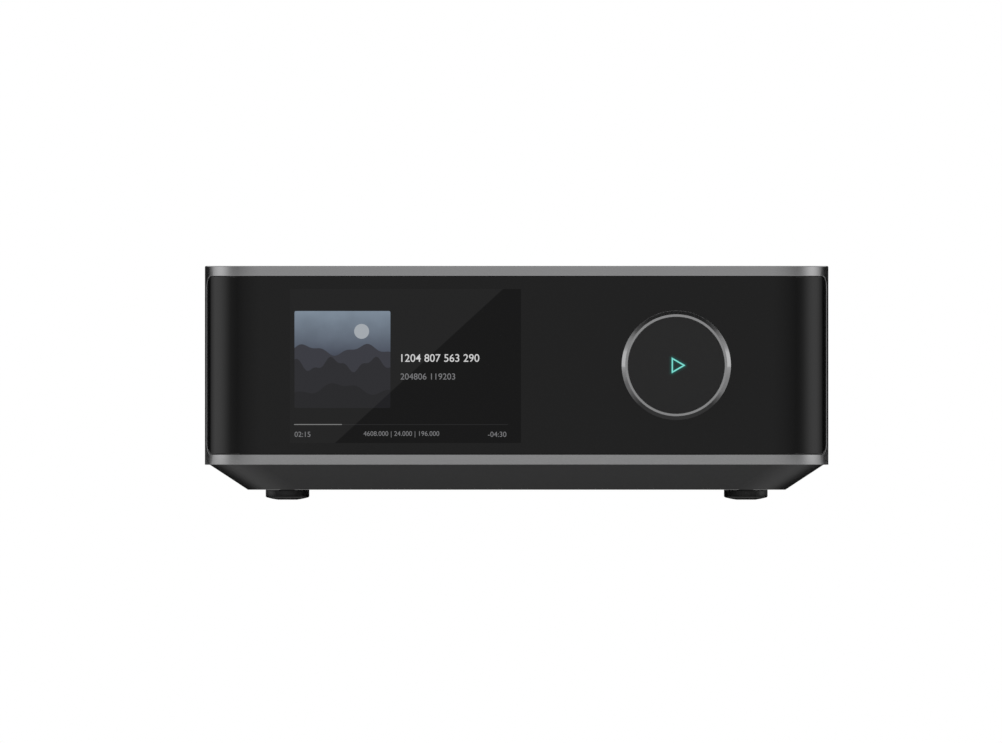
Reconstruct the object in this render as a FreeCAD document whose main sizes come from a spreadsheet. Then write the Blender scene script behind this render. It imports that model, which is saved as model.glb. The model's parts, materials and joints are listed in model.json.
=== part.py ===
"""A compact streaming amplifier in millimetres.

The front faces -Y, +X is to the right as seen from the front, and +Z is up.
The origin is under the middle of the whole object, on the surface that it stands on.
"""
import FreeCAD, Part
import math
import os
from types import SimpleNamespace

import Sketcher

# Driving dimensions
SIZES = {
    # The case: a one-piece metal sleeve with a roof
    "case_width": 200.0,
    "case_depth": 191.0,
    "case_height": 63.8,
    "case_corner": 18.0,
    "case_wall": 2.5,
    "case_roof": 2.0,
    "lug_length": 22.0,
    "lug_width": 10.0,
    "lug_thickness": 4.2,
    "lug_inset_front": 37.0,
    "lug_inset_rear": 34.0,
    # How far the knob and the terminals stand out of the case
    "knob_reach": 8.0,
    "terminal_reach": 15.0,
    # The tapered base and its vents
    "base_height": 8.0,
    "base_inset": 1.6,
    "base_taper": 12.2,
    "base_corner": 16.0,
    "base_wall": 2.5,
    "base_floor": 2.0,
    "boss_radius": 3.5,
    "case_boss_radius": 4.5,
    "boss_height": 11.2,
    "vent_width": 3.0,
    "vent_length": 40.0,
    "vent_pitch": 7.0,
    "vent_row_gap": 8.0,
    # The feet
    "foot_height": 3.2,
    "foot_radius": 7.0,
    "foot_dome_radius": 24.0,
    "foot_flat_radius": 3.0,
    "foot_spigot_radius": 2.5,
    "foot_edge": 12.7,
    # The screws
    "screw_radius": 1.5,
    "screw_length": 6.0,
    "base_screw_length": 10.0,
    "screw_head_radius": 2.75,
    "screw_head_height": 1.8,
    "screw_socket_radius": 1.3,
    "screw_socket_depth": 1.0,
    "screw_gap": 0.1,
    # The front window, its panel and the carrier behind it
    "band_height": 3.25,
    "window_wrap": 13.6,
    "window_corner": 4.0,
    "panel_recess": 0.15,
    "panel_gap": 0.15,
    "carrier_thickness": 2.0,
    "carrier_wrap": 20.0,
    "carrier_lift": 1.0,
    "carrier_roof_gap": 0.2,
    "tab_width": 14.0,
    "tab_length": 14.0,
    "tab_thickness": 2.0,
    "tab_spacing": 62.0,
    # The display behind the panel
    "display_side": 64.3,
    "display_drop": 0.2,
    "display_width": 84.0,
    "display_margin": 1.4,
    "display_depth": 3.0,
    "display_gap": 0.2,
    "ribbon_width": 20.0,
    "ribbon_thickness": 0.4,
    "ribbon_drop": 12.0,
    "ribbon_overlap": 6.0,
    "knob_ribbon_inset": 3.8,
    "knob_ribbon_width": 6.0,
    # The knob: a turning ring round a cap that only presses
    "knob_side": 48.8,
    "knob_gap": 0.8,
    "ring_radius": 17.56,
    "ring_chamfer": 1.25,
    "ring_rim": 0.75,
    "ring_web_length": 3.1,
    "cap_recess": 0.4,
    "cap_thickness": 1.6,
    "cap_clearance": 0.12,
    "cap_gap": 0.3,
    "hub_radius": 12.0,
    "hub_bore_radius": 9.5,
    "hub_web": 1.4,
    "hub_flange": 1.5,
    "running_clearance": 0.05,
    "retainer_play": 0.1,
    "retainer_thickness": 0.8,
    "retainer_width": 1.8,
    "ring_skirt": 1.0,
    "magnet_width": 2.2,
    "magnet_thickness": 1.6,
    "icon_radius": 2.95,
    "icon_line": 0.42,
    "icon_depth": 0.5,
    "bush_radius": 14.5,
    "bush_flange": 1.5,
    "bush_plate": 36.0,
    "bush_leg_length": 5.4,
    "bush_leg_radius": 2.0,
    "bush_leg_edge": 1.0,
    "knob_board_extra": 6.0,
    "switch_width": 6.2,
    "switch_height": 3.0,
    "plunger_radius": 1.7,
    "plunger_clearance": 0.07,
    "plunger_length": 1.7,
    "plunger_bore_depth": 2.0,
    # The rear opening and its plate
    "rear_opening_side": 26.0,
    "rear_opening_low": 4.8,
    "rear_opening_high": 6.0,
    "rear_opening_corner": 2.0,
    "rear_plate_side_gap": 1.0,
    "rear_plate_thickness": 2.0,
    "rear_plate_low": 1.4,
    "rear_plate_high": 0.4,
    "rear_hole_gap": 0.2,
    "rear_screw_side": 22.0,
    "rear_screw_inset": 9.0,
    # The loudspeaker posts
    "post_side": 48.5,
    "post_lift": 1.5,
    "post_pitch": 19.0,
    "post_plate": 40.0,
    "post_plate_thickness": 3.0,
    "post_spigot_radius": 6.0,
    "post_spigot_proud": 0.6,
    "stem_radius": 4.0,
    "stem_inner_length": 17.5,
    "banana_radius": 2.05,
    "banana_depth": 14.0,
    "washer_radius": 6.2,
    "washer_thickness": 1.0,
    "washer_gap": 0.1,
    "grip_radius": 7.2,
    "grip_chamfer": 1.0,
    "grip_wall": 2.0,
    "grip_end_gap": 0.4,
    "grip_hole_radius": 2.4,
    "flute_radius": 1.3,
    "flute_start": 2.0,
    "nut_radius": 6.6,
    "nut_thickness": 3.0,
    # The phono jacks and the trigger jack
    "jack_rise": 7.6,
    "jack_reach": 10.0,
    "jack_radius": 4.15,
    "jack_bore_radius": 3.4,
    "jack_flange_radius": 5.6,
    "jack_flange_thickness": 1.5,
    "jack_contact_radius": 2.15,
    "jack_pin_radius": 1.6,
    "jack_pin_depth": 13.0,
    "jack_nose_setback": 0.6,
    "jack_nose_gap": 0.05,
    "jack_contact_end": 1.5,
    "jack_housing_width": 11.0,
    "jack_housing_depth": 12.0,
    "trigger_radius": 1.8,
    "trigger_depth": 14.0,
    "trigger_nose_radius": 3.0,
    "trigger_nut_radius": 4.6,
    "trigger_nut_thickness": 1.5,
    "trigger_reach": 2.5,
    # The sockets on the main board
    "port_reach": 1.0,
    "optical_size": 9.8,
    "optical_depth": 13.0,
    "optical_mouth": 6.4,
    "optical_mouth_depth": 8.0,
    "shutter_thickness": 0.7,
    "shutter_gap": 0.15,
    "shutter_setback": 0.3,
    "shutter_pin_length": 0.8,
    "tongue_setback": 1.5,
    "hdmi_width": 15.0,
    "hdmi_height": 5.6,
    "hdmi_wall": 0.5,
    "hdmi_depth": 12.0,
    "hdmi_mouth_depth": 10.0,
    "hdmi_tongue_width": 9.5,
    "hdmi_tongue_thickness": 1.2,
    "usb_width": 13.4,
    "usb_height": 6.2,
    "usb_wall": 0.5,
    "usb_depth": 15.0,
    "usb_mouth_depth": 11.5,
    "usb_tongue_width": 11.0,
    "usb_tongue_thickness": 1.9,
    "usb_tongue_gap": 0.4,
    "ethernet_width": 16.0,
    "ethernet_height": 13.5,
    "ethernet_depth": 21.5,
    "ethernet_mouth_width": 11.8,
    "ethernet_mouth_height": 8.3,
    "ethernet_mouth_depth": 13.0,
    "ethernet_latch_width": 6.2,
    "ethernet_latch_height": 2.2,
    "ethernet_mouth_rise": 1.0,
    # The mains inlet
    "inlet_side": 40.0,
    "inlet_rise": 22.0,
    "inlet_flange_width": 27.0,
    "inlet_flange_height": 18.0,
    "inlet_flange_thickness": 2.0,
    "inlet_body_width": 21.0,
    "inlet_body_height": 13.0,
    "inlet_body_depth": 19.0,
    "inlet_mouth_width": 15.8,
    "inlet_mouth_height": 8.4,
    "inlet_mouth_depth": 12.0,
    "inlet_waist_height": 7.0,
    "inlet_tag_length": 3.0,
    "inlet_pin_radius": 1.2,
    "inlet_pin_pitch": 8.6,
    "inlet_pin_setback": 1.5,
    "inlet_pin_clearance": 0.03,
    # The circuit boards and what they carry
    "board_thickness": 1.6,
    "board_side_gap": 12.0,
    "board_front_gap": 27.0,
    "board_rear_gap": 5.5,
    "board_split_side": 56.0,
    "board_split_gap": 4.0,
    "main_boss_left": 18.0,
    "main_boss_right": 10.0,
    "boss_front": 20.0,
    "boss_rear": 36.0,
    "supply_boss_left": 5.0,
    "supply_boss_right": 4.5,
    "input_board_gap": 0.5,
    "input_board_side_gap": 6.0,
    "input_board_depth": 36.0,
    "input_board_lift": 26.0,
    "standoff_radius": 3.0,
    "standoff_edge": 4.5,
    "sink_left_gap": 4.0,
    "sink_front_gap": 30.0,
    "sink_width": 46.0,
    "sink_base": 3.0,
    "sink_height": 30.0,
    "fin_thickness": 1.5,
    "fin_pitch": 5.5,
    "amp_chip_height": 2.0,
    "amp_chip_width": 14.0,
    "chip_width": 12.0,
    "chip_height": 1.4,
    "chip_step": 32.0,
    "connector_depth": 5.0,
    "connector_extra": 4.0,
    "connector_height": 2.5,
    "coil_edge": 12.0,
    "coil_pitch": 17.0,
    "coil_rear_gap": 54.0,
    "coil_gap": 5.0,
    "coil_radius": 7.0,
    "coil_height": 13.0,
    "can_x": -8.0,
    "can_y": -22.0,
    "can_width": 30.0,
    "can_depth": 34.0,
    "can_height": 3.6,
    "transformer_front": 78.0,
    "transformer_width": 36.0,
    "transformer_depth": 40.0,
    "transformer_height": 28.0,
    "capacitor_front": 29.0,
    "capacitor_pitch": 18.0,
    "capacitor_radius": 8.0,
    "capacitor_height": 30.0,
    "fuse_front": 110.0,
    "fuse_lift": 3.6,
    "fuse_clip_length": 5.0,
    "fuse_clip_wall": 1.0,
    "fuse_radius": 2.6,
    "fuse_length": 20.0,
}

# How many of each thing that repeats
VENT_COUNT = 15
FLUTE_COUNT = 10
FIN_COUNT = 8
COIL_COUNT = 4
TRIANGLE_SIDE_COUNT = 3
HEXAGON_SIDE_COUNT = 6

doc = FreeCAD.newDocument("streaming_amplifier")
sheet = doc.addObject("Spreadsheet::Sheet", "Sizes")


class Size:
    """A formula over the sheet's cells, and the number that it comes to."""

    def __init__(self, text, number):
        self.text = text
        self.number = number

    def combined(self, sign, other, number):
        return Size(f"({self.text} {sign} {other.text})", number)

    def __add__(self, other):
        other = as_size(other)
        return self.combined("+", other, self.number + other.number)

    def __sub__(self, other):
        other = as_size(other)
        return self.combined("-", other, self.number - other.number)

    def __mul__(self, other):
        other = as_size(other)
        return self.combined("*", other, self.number * other.number)

    def __truediv__(self, other):
        other = as_size(other)
        return self.combined("/", other, self.number / other.number)

    def __radd__(self, other):
        return as_size(other) + self

    def __rsub__(self, other):
        return as_size(other) - self

    def __rmul__(self, other):
        return as_size(other) * self

    def __neg__(self):
        return Size(f"(-{self.text})", -self.number)

    def root(self):
        return Size(f"sqrt({self.text})", math.sqrt(self.number))


def as_size(value):
    if isinstance(value, Size):
        return value
    return Size(f"({float(value)!r})", float(value))


def fill_sheet():
    for row, (alias, value) in enumerate(SIZES.items(), start=1):
        sheet.set(f"A{row}", alias)
        sheet.set(f"B{row}", str(value))
        sheet.setAlias(f"B{row}", alias)
    doc.recompute()


fill_sheet()
S = SimpleNamespace(**{alias: Size(f"Sizes.{alias}", value) for alias, value in SIZES.items()})

# Levels and faces that several pieces share
WHOLE_DEPTH = S.case_depth + S.knob_reach + S.terminal_reach
SIDE = S.case_width / 2
FRONT = S.knob_reach - WHOLE_DEPTH / 2
REAR = FRONT + S.case_depth
BASE_LOW = S.foot_height
FLOOR_TOP = BASE_LOW + S.base_floor
CASE_LOW = BASE_LOW + S.base_height
CASE_TOP = CASE_LOW + S.case_height
CASE_MIDDLE = (CASE_LOW + CASE_TOP) / 2
ROOF_UNDER = CASE_TOP - S.case_roof
OPENING_LOW = CASE_LOW + S.rear_opening_low
OPENING_HIGH = CASE_TOP - S.rear_opening_high
BOARD_LOW = FLOOR_TOP + S.boss_height
BOARD_TOP = BOARD_LOW + S.board_thickness
PLATE_FACE = REAR - S.case_wall
PLATE_INNER = PLATE_FACE - S.rear_plate_thickness
WALL_BACK = FRONT + S.case_wall
CARRIER_BACK = WALL_BACK + S.carrier_thickness
PORT_FACE = PLATE_FACE + S.port_reach

# Small allowances that let a cutting shape run past the faces that it opens
PAST = 1.0
FAR_PAST = 20.0

TURNS = {
    "X": FreeCAD.Rotation(FreeCAD.Vector(0, 1, 0), 90),
    "Y": FreeCAD.Rotation(FreeCAD.Vector(1, 0, 0), -90),
    "Z": FreeCAD.Rotation(),
}

nodes = {}


def bind(piece, field, value):
    piece.setExpression(field, as_size(value).text)


def place(piece, point, axis="Z"):
    """Put the piece's own origin at the point, with its own Z along the axis."""
    piece.Placement = FreeCAD.Placement(FreeCAD.Vector(), TURNS[axis])
    for letter, value in zip("xyz", point):
        bind(piece, f"Placement.Base.{letter}", value)


def block(name, low, high):
    piece = doc.addObject("Part::Box", name)
    for field, start, end in zip(("Length", "Width", "Height"), low, high):
        bind(piece, field, as_size(end) - start)
    place(piece, low)
    return piece


def centred_block(name, centre_x, centre_z, width, height, start_y, end_y):
    """A block whose width and height lie evenly about a line along Y."""
    low = (centre_x - width / 2, start_y, centre_z - height / 2)
    high = (centre_x + width / 2, end_y, centre_z + height / 2)
    return block(name, low, high)


def rod(name, start, radius, length, axis="Z"):
    piece = doc.addObject("Part::Cylinder", name)
    bind(piece, "Radius", radius)
    bind(piece, "Height", length)
    place(piece, start, axis)
    return piece


def taper(name, start, start_radius, end_radius, length, axis="Z"):
    piece = doc.addObject("Part::Cone", name)
    bind(piece, "Radius1", start_radius)
    bind(piece, "Radius2", end_radius)
    bind(piece, "Height", length)
    place(piece, start, axis)
    return piece


def prism(name, start, sides, radius, length, axis="Z"):
    piece = doc.addObject("Part::Prism", name)
    piece.Polygon = sides
    bind(piece, "Circumradius", radius)
    bind(piece, "Height", length)
    place(piece, start, axis)
    return piece


def join(name, *pieces):
    piece = doc.addObject("Part::MultiFuse", name)
    piece.Shapes = list(pieces)
    return piece


def group(name, *pieces):
    """Several solids that stay apart under one name."""
    piece = doc.addObject("Part::Compound", name)
    piece.Links = list(pieces)
    return piece


def cut(name, base, *tools):
    piece = doc.addObject("Part::Cut", name)
    piece.Base = base
    piece.Tool = tools[0] if len(tools) == 1 else join(f"{name}_tools", *tools)
    return piece


def common(name, first, second):
    piece = doc.addObject("Part::Common", name)
    piece.Base = first
    piece.Tool = second
    return piece


def node(name, piece):
    """Give a finished sub-part its name, which its file takes too."""
    piece.Label = name
    nodes[name] = piece
    return piece


def new_body(name):
    return doc.addObject("PartDesign::Body", name)


def rounded_outline(body, name, plane, low, high, corner, level):
    """A rectangle with equal round corners, at a level on one of the body's own planes."""
    sketch = body.newObject("Sketcher::SketchObject", name)
    origin = next(item for item in body.Origin.OriginFeatures if item.Role == plane)
    sketch.AttachmentSupport = [(origin, "")]
    sketch.MapMode = "FlatFace"
    bind(sketch, "AttachmentOffset.Base.z", level)
    left, bottom, right, top = (as_size(value).number for value in (*low, *high))
    turn = as_size(corner).number
    up = FreeCAD.Vector(0, 0, 1)

    def line(start_x, start_y, end_x, end_y):
        ends = FreeCAD.Vector(start_x, start_y, 0), FreeCAD.Vector(end_x, end_y, 0)
        return sketch.addGeometry(Part.LineSegment(*ends), False)

    def arc(centre_x, centre_y, quarter):
        circle = Part.Circle(FreeCAD.Vector(centre_x, centre_y, 0), up, turn)
        start = quarter * math.pi / 2
        return sketch.addGeometry(Part.ArcOfCircle(circle, start, start + math.pi / 2), False)

    lower = line(left + turn, bottom, right - turn, bottom)
    lower_right = arc(right - turn, bottom + turn, 3)
    right_side = line(right, bottom + turn, right, top - turn)
    upper_right = arc(right - turn, top - turn, 0)
    upper = line(right - turn, top, left + turn, top)
    upper_left = arc(left + turn, top - turn, 1)
    left_side = line(left, top - turn, left, bottom + turn)
    lower_left = arc(left + turn, bottom + turn, 2)
    loop = [lower, lower_right, right_side, upper_right, upper, upper_left, left_side, lower_left]
    for first, second in zip(loop, loop[1:] + loop[:1]):
        sketch.addConstraint(Sketcher.Constraint("Tangent", first, 2, second, 1))
    for level_line in (lower, upper):
        sketch.addConstraint(Sketcher.Constraint("Horizontal", level_line))
    for upright in (left_side, right_side):
        sketch.addConstraint(Sketcher.Constraint("Vertical", upright))
    for other in (upper_right, upper_left, lower_left):
        sketch.addConstraint(Sketcher.Constraint("Equal", lower_right, other))

    def measure(label, kind, geometry, value):
        ends = (geometry,) if kind == "Radius" else (-1, 1, geometry, 1)
        index = sketch.addConstraint(Sketcher.Constraint(kind, *ends, as_size(value).number))
        sketch.renameConstraint(index, label)
        bind(sketch, f"Constraints.{label}", value)

    measure("corner", "Radius", lower_right, corner)
    measure("low_x", "DistanceX", left_side, low[0])
    measure("high_x", "DistanceX", right_side, high[0])
    measure("low_y", "DistanceY", lower, low[1])
    measure("high_y", "DistanceY", upper, high[1])
    return sketch


def pad(body, name, sketch, length, both_ways=False):
    feature = body.newObject("PartDesign::Pad", name)
    feature.Profile = sketch
    feature.Midplane = both_ways
    bind(feature, "Length", length)
    return feature


def pocket(body, name, sketch, depth, along_normal=False, both_ways=False):
    feature = body.newObject("PartDesign::Pocket", name)
    feature.Profile = sketch
    feature.Reversed = along_normal
    feature.Midplane = both_ways
    bind(feature, "Length", depth)
    return feature


def footprint(inset):
    """The case's outline in plan, drawn in by an inset, as low and high corners."""
    return (inset - SIDE, FRONT + inset), (SIDE - inset, REAR - inset)


def shell_band(name, outer_inset, inner_inset, low, high):
    """An upright band that follows the case's wall between two insets."""
    body = new_body(name)
    band_height = as_size(high) - low
    for label, inset in (("outer", outer_inset), ("inner", inner_inset)):
        corner = S.case_corner - inset
        sketch = rounded_outline(body, f"{name}_{label}", "XY_Plane", *footprint(inset), corner, low)
        if label == "outer":
            pad(body, f"{name}_wall", sketch, band_height)
        else:
            pocket(body, f"{name}_hollow", sketch, band_height, along_normal=True)
    return body


def window_block(name, gap):
    """The block that opens the front window and runs round both front corners."""
    body = new_body(name)
    low = (FRONT - FAR_PAST, CASE_LOW + S.band_height + gap)
    high = (FRONT + S.window_wrap - gap, CASE_TOP - S.band_height - gap)
    corner = S.window_corner - gap
    sketch = rounded_outline(body, f"{name}_outline", "YZ_Plane", low, high, corner, 0)
    pad(body, f"{name}_block", sketch, S.case_width + 2 * PAST, both_ways=True)
    return body


def shifted(point, axis, amount):
    """The point moved along one axis."""
    moved = [as_size(value) for value in point]
    index = "XYZ".index(axis)
    moved[index] = moved[index] + amount
    return tuple(moved)


def screw(name, seat, axis, outward, length):
    """A pan-head screw. Its head lies on the seat, on the outward side along the axis."""
    if outward > 0:
        head_start = seat
        shank_start = shifted(seat, axis, -length)
        socket_start = shifted(seat, axis, S.screw_head_height - S.screw_socket_depth)
    else:
        head_start = shifted(seat, axis, -S.screw_head_height)
        shank_start = seat
        socket_start = head_start
    head = rod(f"{name}_head", head_start, S.screw_head_radius, S.screw_head_height, axis)
    shank = rod(f"{name}_shank", shank_start, S.screw_radius - S.screw_gap, length, axis)
    socket = prism(f"{name}_socket", socket_start, HEXAGON_SIDE_COUNT, S.screw_socket_radius,
                   S.screw_socket_depth, axis)
    return cut(name, join(f"{name}_whole", head, shank), socket)


def corners(left, right, low, high):
    return [(left, low), (right, low), (left, high), (right, high)]


# Places in plan that more than one piece uses
LUG_INNER = SIDE - S.case_wall - S.lug_length
LUG_HOLE = LUG_INNER + S.lug_width / 2
LUG_ROWS = (FRONT + S.lug_inset_front, REAR - S.lug_inset_rear)
LUG_POINTS = corners(-LUG_HOLE, LUG_HOLE, *LUG_ROWS)
FOOT_EDGE = S.base_inset + S.base_taper + S.foot_edge
FOOT_POINTS = corners(FOOT_EDGE - SIDE, SIDE - FOOT_EDGE, FRONT + FOOT_EDGE, REAR - FOOT_EDGE)
TAB_HOLE = CARRIER_BACK + S.tab_length - S.boss_radius
TAB_POINTS = [(S.tab_spacing * step, TAB_HOLE) for step in (-1, 0, 1)]
BOARD_FRONT = FRONT + S.board_front_gap
BOARD_REAR = PLATE_FACE - S.board_rear_gap
MAIN_LEFT = S.board_side_gap - SIDE
BOARD_SPLIT = SIDE - S.board_split_side
MAIN_RIGHT = BOARD_SPLIT - S.board_split_gap / 2
SUPPLY_LEFT = BOARD_SPLIT + S.board_split_gap / 2
SUPPLY_RIGHT = SIDE - S.board_side_gap
BOSS_ROWS = (BOARD_FRONT + S.boss_front, BOARD_REAR - S.boss_rear)
MAIN_POINTS = corners(MAIN_LEFT + S.main_boss_left, MAIN_RIGHT - S.main_boss_right, *BOSS_ROWS)
SUPPLY_POINTS = corners(SUPPLY_LEFT + S.supply_boss_left, SUPPLY_RIGHT - S.supply_boss_right, *BOSS_ROWS)
BOARD_POINTS = MAIN_POINTS + SUPPLY_POINTS
REAR_SCREW_X = SIDE - S.rear_screw_side
REAR_SCREW_POINTS = corners(-REAR_SCREW_X, REAR_SCREW_X,
                            CASE_LOW + S.rear_screw_inset, CASE_TOP - S.rear_screw_inset)
TAB_SEAT = CASE_LOW + S.carrier_lift


def make_case():
    body = new_body("case_sleeve")
    outline = rounded_outline(body, "case_outline", "XY_Plane", *footprint(0), S.case_corner, CASE_LOW)
    pad(body, "case_block", outline, S.case_height)
    inner_corner = S.case_corner - S.case_wall
    hollow = rounded_outline(body, "case_inside", "XY_Plane", *footprint(S.case_wall),
                             inner_corner, CASE_LOW)
    pocket(body, "case_hollow", hollow, S.case_height - S.case_roof, along_normal=True)
    opening_side = SIDE - S.rear_opening_side
    opening = rounded_outline(body, "rear_outline", "XZ_Plane", (-opening_side, OPENING_LOW),
                              (opening_side, OPENING_HIGH), S.rear_opening_corner, -(REAR + PAST))
    pocket(body, "rear_opening", opening, S.case_wall + 2 * PAST, along_normal=True)
    sleeve = cut("case_windowed", body, window_block("case_window", 0))
    lugs = []
    for row, lug_y in enumerate(LUG_ROWS):
        for side, sign in (("left", -1), ("right", 1)):
            ends = (LUG_INNER * sign, (SIDE - S.case_wall / 2) * sign)
            near, far = ends if sign > 0 else ends[::-1]
            low = (near, lug_y - S.lug_width / 2, CASE_LOW)
            high = (far, lug_y + S.lug_width / 2, CASE_LOW + S.lug_thickness)
            lugs.append(block(f"case_lug_{side}_{row}", low, high))
    holes = []
    for index, (x, y) in enumerate(LUG_POINTS):
        start = (x, y, CASE_LOW - PAST)
        holes.append(rod(f"case_lug_hole_{index}", start, S.screw_radius, S.lug_thickness + 2 * PAST))
    for index, (x, z) in enumerate(REAR_SCREW_POINTS):
        start = (x, PLATE_FACE - PAST, z)
        holes.append(rod(f"case_rear_hole_{index}", start, S.screw_radius, S.case_wall + 2 * PAST, "Y"))
    node("case_shell", cut("case_shell", join("case_with_lugs", sleeve, *lugs), *holes))


def make_base():
    body = new_body("base_shell")
    low_inset = S.base_inset + S.base_taper
    floor_inset = S.base_inset + S.base_taper * (1 - S.base_floor / S.base_height) + S.base_wall
    inner_corner = S.base_corner - S.base_wall
    under = rounded_outline(body, "base_under", "XY_Plane", *footprint(low_inset), S.base_corner, BASE_LOW)
    rim = rounded_outline(body, "base_rim", "XY_Plane", *footprint(S.base_inset), S.base_corner, CASE_LOW)
    slope = body.newObject("PartDesign::AdditiveLoft", "base_slope")
    slope.Profile = under
    slope.Sections = [rim]
    slope.Ruled = True
    floor = rounded_outline(body, "base_inside_low", "XY_Plane", *footprint(floor_inset),
                            inner_corner, FLOOR_TOP)
    mouth = rounded_outline(body, "base_inside_high", "XY_Plane",
                            *footprint(S.base_inset + S.base_wall), inner_corner, CASE_LOW)
    hollow = body.newObject("PartDesign::SubtractiveLoft", "base_hollow")
    hollow.Profile = floor
    hollow.Sections = [mouth]
    hollow.Ruled = True
    added = []
    removed = []
    root = BASE_LOW + S.base_floor / 2
    for index, (x, y) in enumerate(BOARD_POINTS):
        added.append(rod(f"board_boss_{index}", (x, y, root), S.boss_radius, BOARD_LOW - root))
        start = (x, y, FLOOR_TOP)
        removed.append(rod(f"board_boss_hole_{index}", start, S.screw_radius, S.boss_height + PAST))
    for index, (x, y) in enumerate(TAB_POINTS):
        start = (x, y, FLOOR_TOP)
        added.append(rod(f"tab_boss_{index}", start, S.boss_radius, TAB_SEAT - FLOOR_TOP))
        removed.append(rod(f"tab_boss_hole_{index}", start, S.screw_radius, S.base_height))
    for index, (x, y) in enumerate(LUG_POINTS):
        added.append(rod(f"case_boss_{index}", (x, y, root), S.case_boss_radius, CASE_LOW - root))
        start = (x, y, BASE_LOW - PAST)
        removed.append(rod(f"case_boss_hole_{index}", start, S.screw_radius, S.base_height + 2 * PAST))
        sink_depth = S.screw_head_height + PAST
        removed.append(rod(f"case_boss_sink_{index}", start, S.screw_head_radius + S.screw_gap, sink_depth))
    for index, (x, y) in enumerate(FOOT_POINTS):
        start = (x, y, BASE_LOW - PAST)
        removed.append(rod(f"foot_hole_{index}", start, S.foot_spigot_radius, S.base_floor + 2 * PAST))
    middle = (FRONT + REAR) / 2
    for row, sign in enumerate((-1, 1)):
        centre = middle + sign * (S.vent_length + S.vent_row_gap) / 2
        for index in range(VENT_COUNT):
            x = S.vent_pitch * (index - (VENT_COUNT - 1) / 2)
            low = (x - S.vent_width / 2, centre - S.vent_length / 2, BASE_LOW - PAST)
            high = (x + S.vent_width / 2, centre + S.vent_length / 2, FLOOR_TOP + PAST / 2)
            removed.append(block(f"vent_{row}_{index}", low, high))
    node("base_tray", cut("base_tray", join("base_with_bosses", body, *added), *removed))


def make_feet():
    feet = []
    centre_z = (S.foot_dome_radius * S.foot_dome_radius - S.foot_flat_radius * S.foot_flat_radius).root()
    for index, (x, y) in enumerate(FOOT_POINTS):
        pad_rod = rod(f"foot_rod_{index}", (x, y, 0), S.foot_radius, S.foot_height)
        dome = doc.addObject("Part::Sphere", f"foot_dome_{index}")
        bind(dome, "Radius", S.foot_dome_radius)
        place(dome, (x, y, centre_z))
        rounded = common(f"foot_pad_{index}", pad_rod, dome)
        spigot = rod(f"foot_spigot_{index}", (x, y, BASE_LOW), S.foot_spigot_radius, S.base_floor)
        feet.append(join(f"foot_{index}", rounded, spigot))
    node("feet", group("feet", *feet))


def make_base_screws():
    seat_z = BASE_LOW + S.screw_head_height
    screws = [screw(f"base_screw_{index}", (x, y, seat_z), "Z", -1, S.base_screw_length)
              for index, (x, y) in enumerate(LUG_POINTS)]
    node("base_screws", group("base_screws", *screws))


def make_inner_screws():
    seats = [(x, y, BOARD_TOP) for x, y in BOARD_POINTS]
    seats += [(x, y, TAB_SEAT + S.tab_thickness) for x, y in TAB_POINTS]
    screws = [screw(f"inner_screw_{index}", seat, "Z", 1, S.screw_length)
              for index, seat in enumerate(seats)]
    node("inner_screws", group("inner_screws", *screws))


# Where the display and the knob lie on the front
DISPLAY_X = S.display_side - SIDE
DISPLAY_Z = CASE_MIDDLE - S.display_drop
DISPLAY_HEIGHT = S.case_height - 2 * (S.band_height + S.display_margin)
DISPLAY_BACK = WALL_BACK + S.display_depth
KNOB_X = SIDE - S.knob_side
KNOB_Z = CASE_MIDDLE
KNOB_BOARD_LEFT = KNOB_X - S.bush_plate / 2 - S.knob_board_extra
KNOB_RIBBON_X = KNOB_BOARD_LEFT + S.knob_ribbon_inset
PANEL_FACE = FRONT + S.panel_recess
RING_FRONT = FRONT - S.knob_reach
RING_BACK = PANEL_FACE - S.knob_gap
CAP_FACE = RING_FRONT + S.cap_recess
CAP_BACK = CAP_FACE + S.cap_thickness
WEB_FRONT = CAP_BACK + S.cap_gap
WEB_BACK = WEB_FRONT + S.ring_web_length
BUSH_BACK = CARRIER_BACK + S.bush_flange
HUB_FLANGE = BUSH_BACK + S.retainer_play
HUB_BACK = HUB_FLANGE + S.hub_web
KNOB_BOARD_FRONT = BUSH_BACK + S.bush_leg_length
KNOB_BOARD_BACK = KNOB_BOARD_FRONT + S.board_thickness
SWITCH_FRONT = KNOB_BOARD_FRONT - S.switch_height
RIM_INNER = S.ring_radius - S.ring_chamfer - S.ring_rim
HUB_BORE = S.hub_radius + S.running_clearance
MAGNET_OUTER = S.ring_radius - S.ring_skirt


def on_knob(y):
    return (KNOB_X, y, KNOB_Z)


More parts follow.
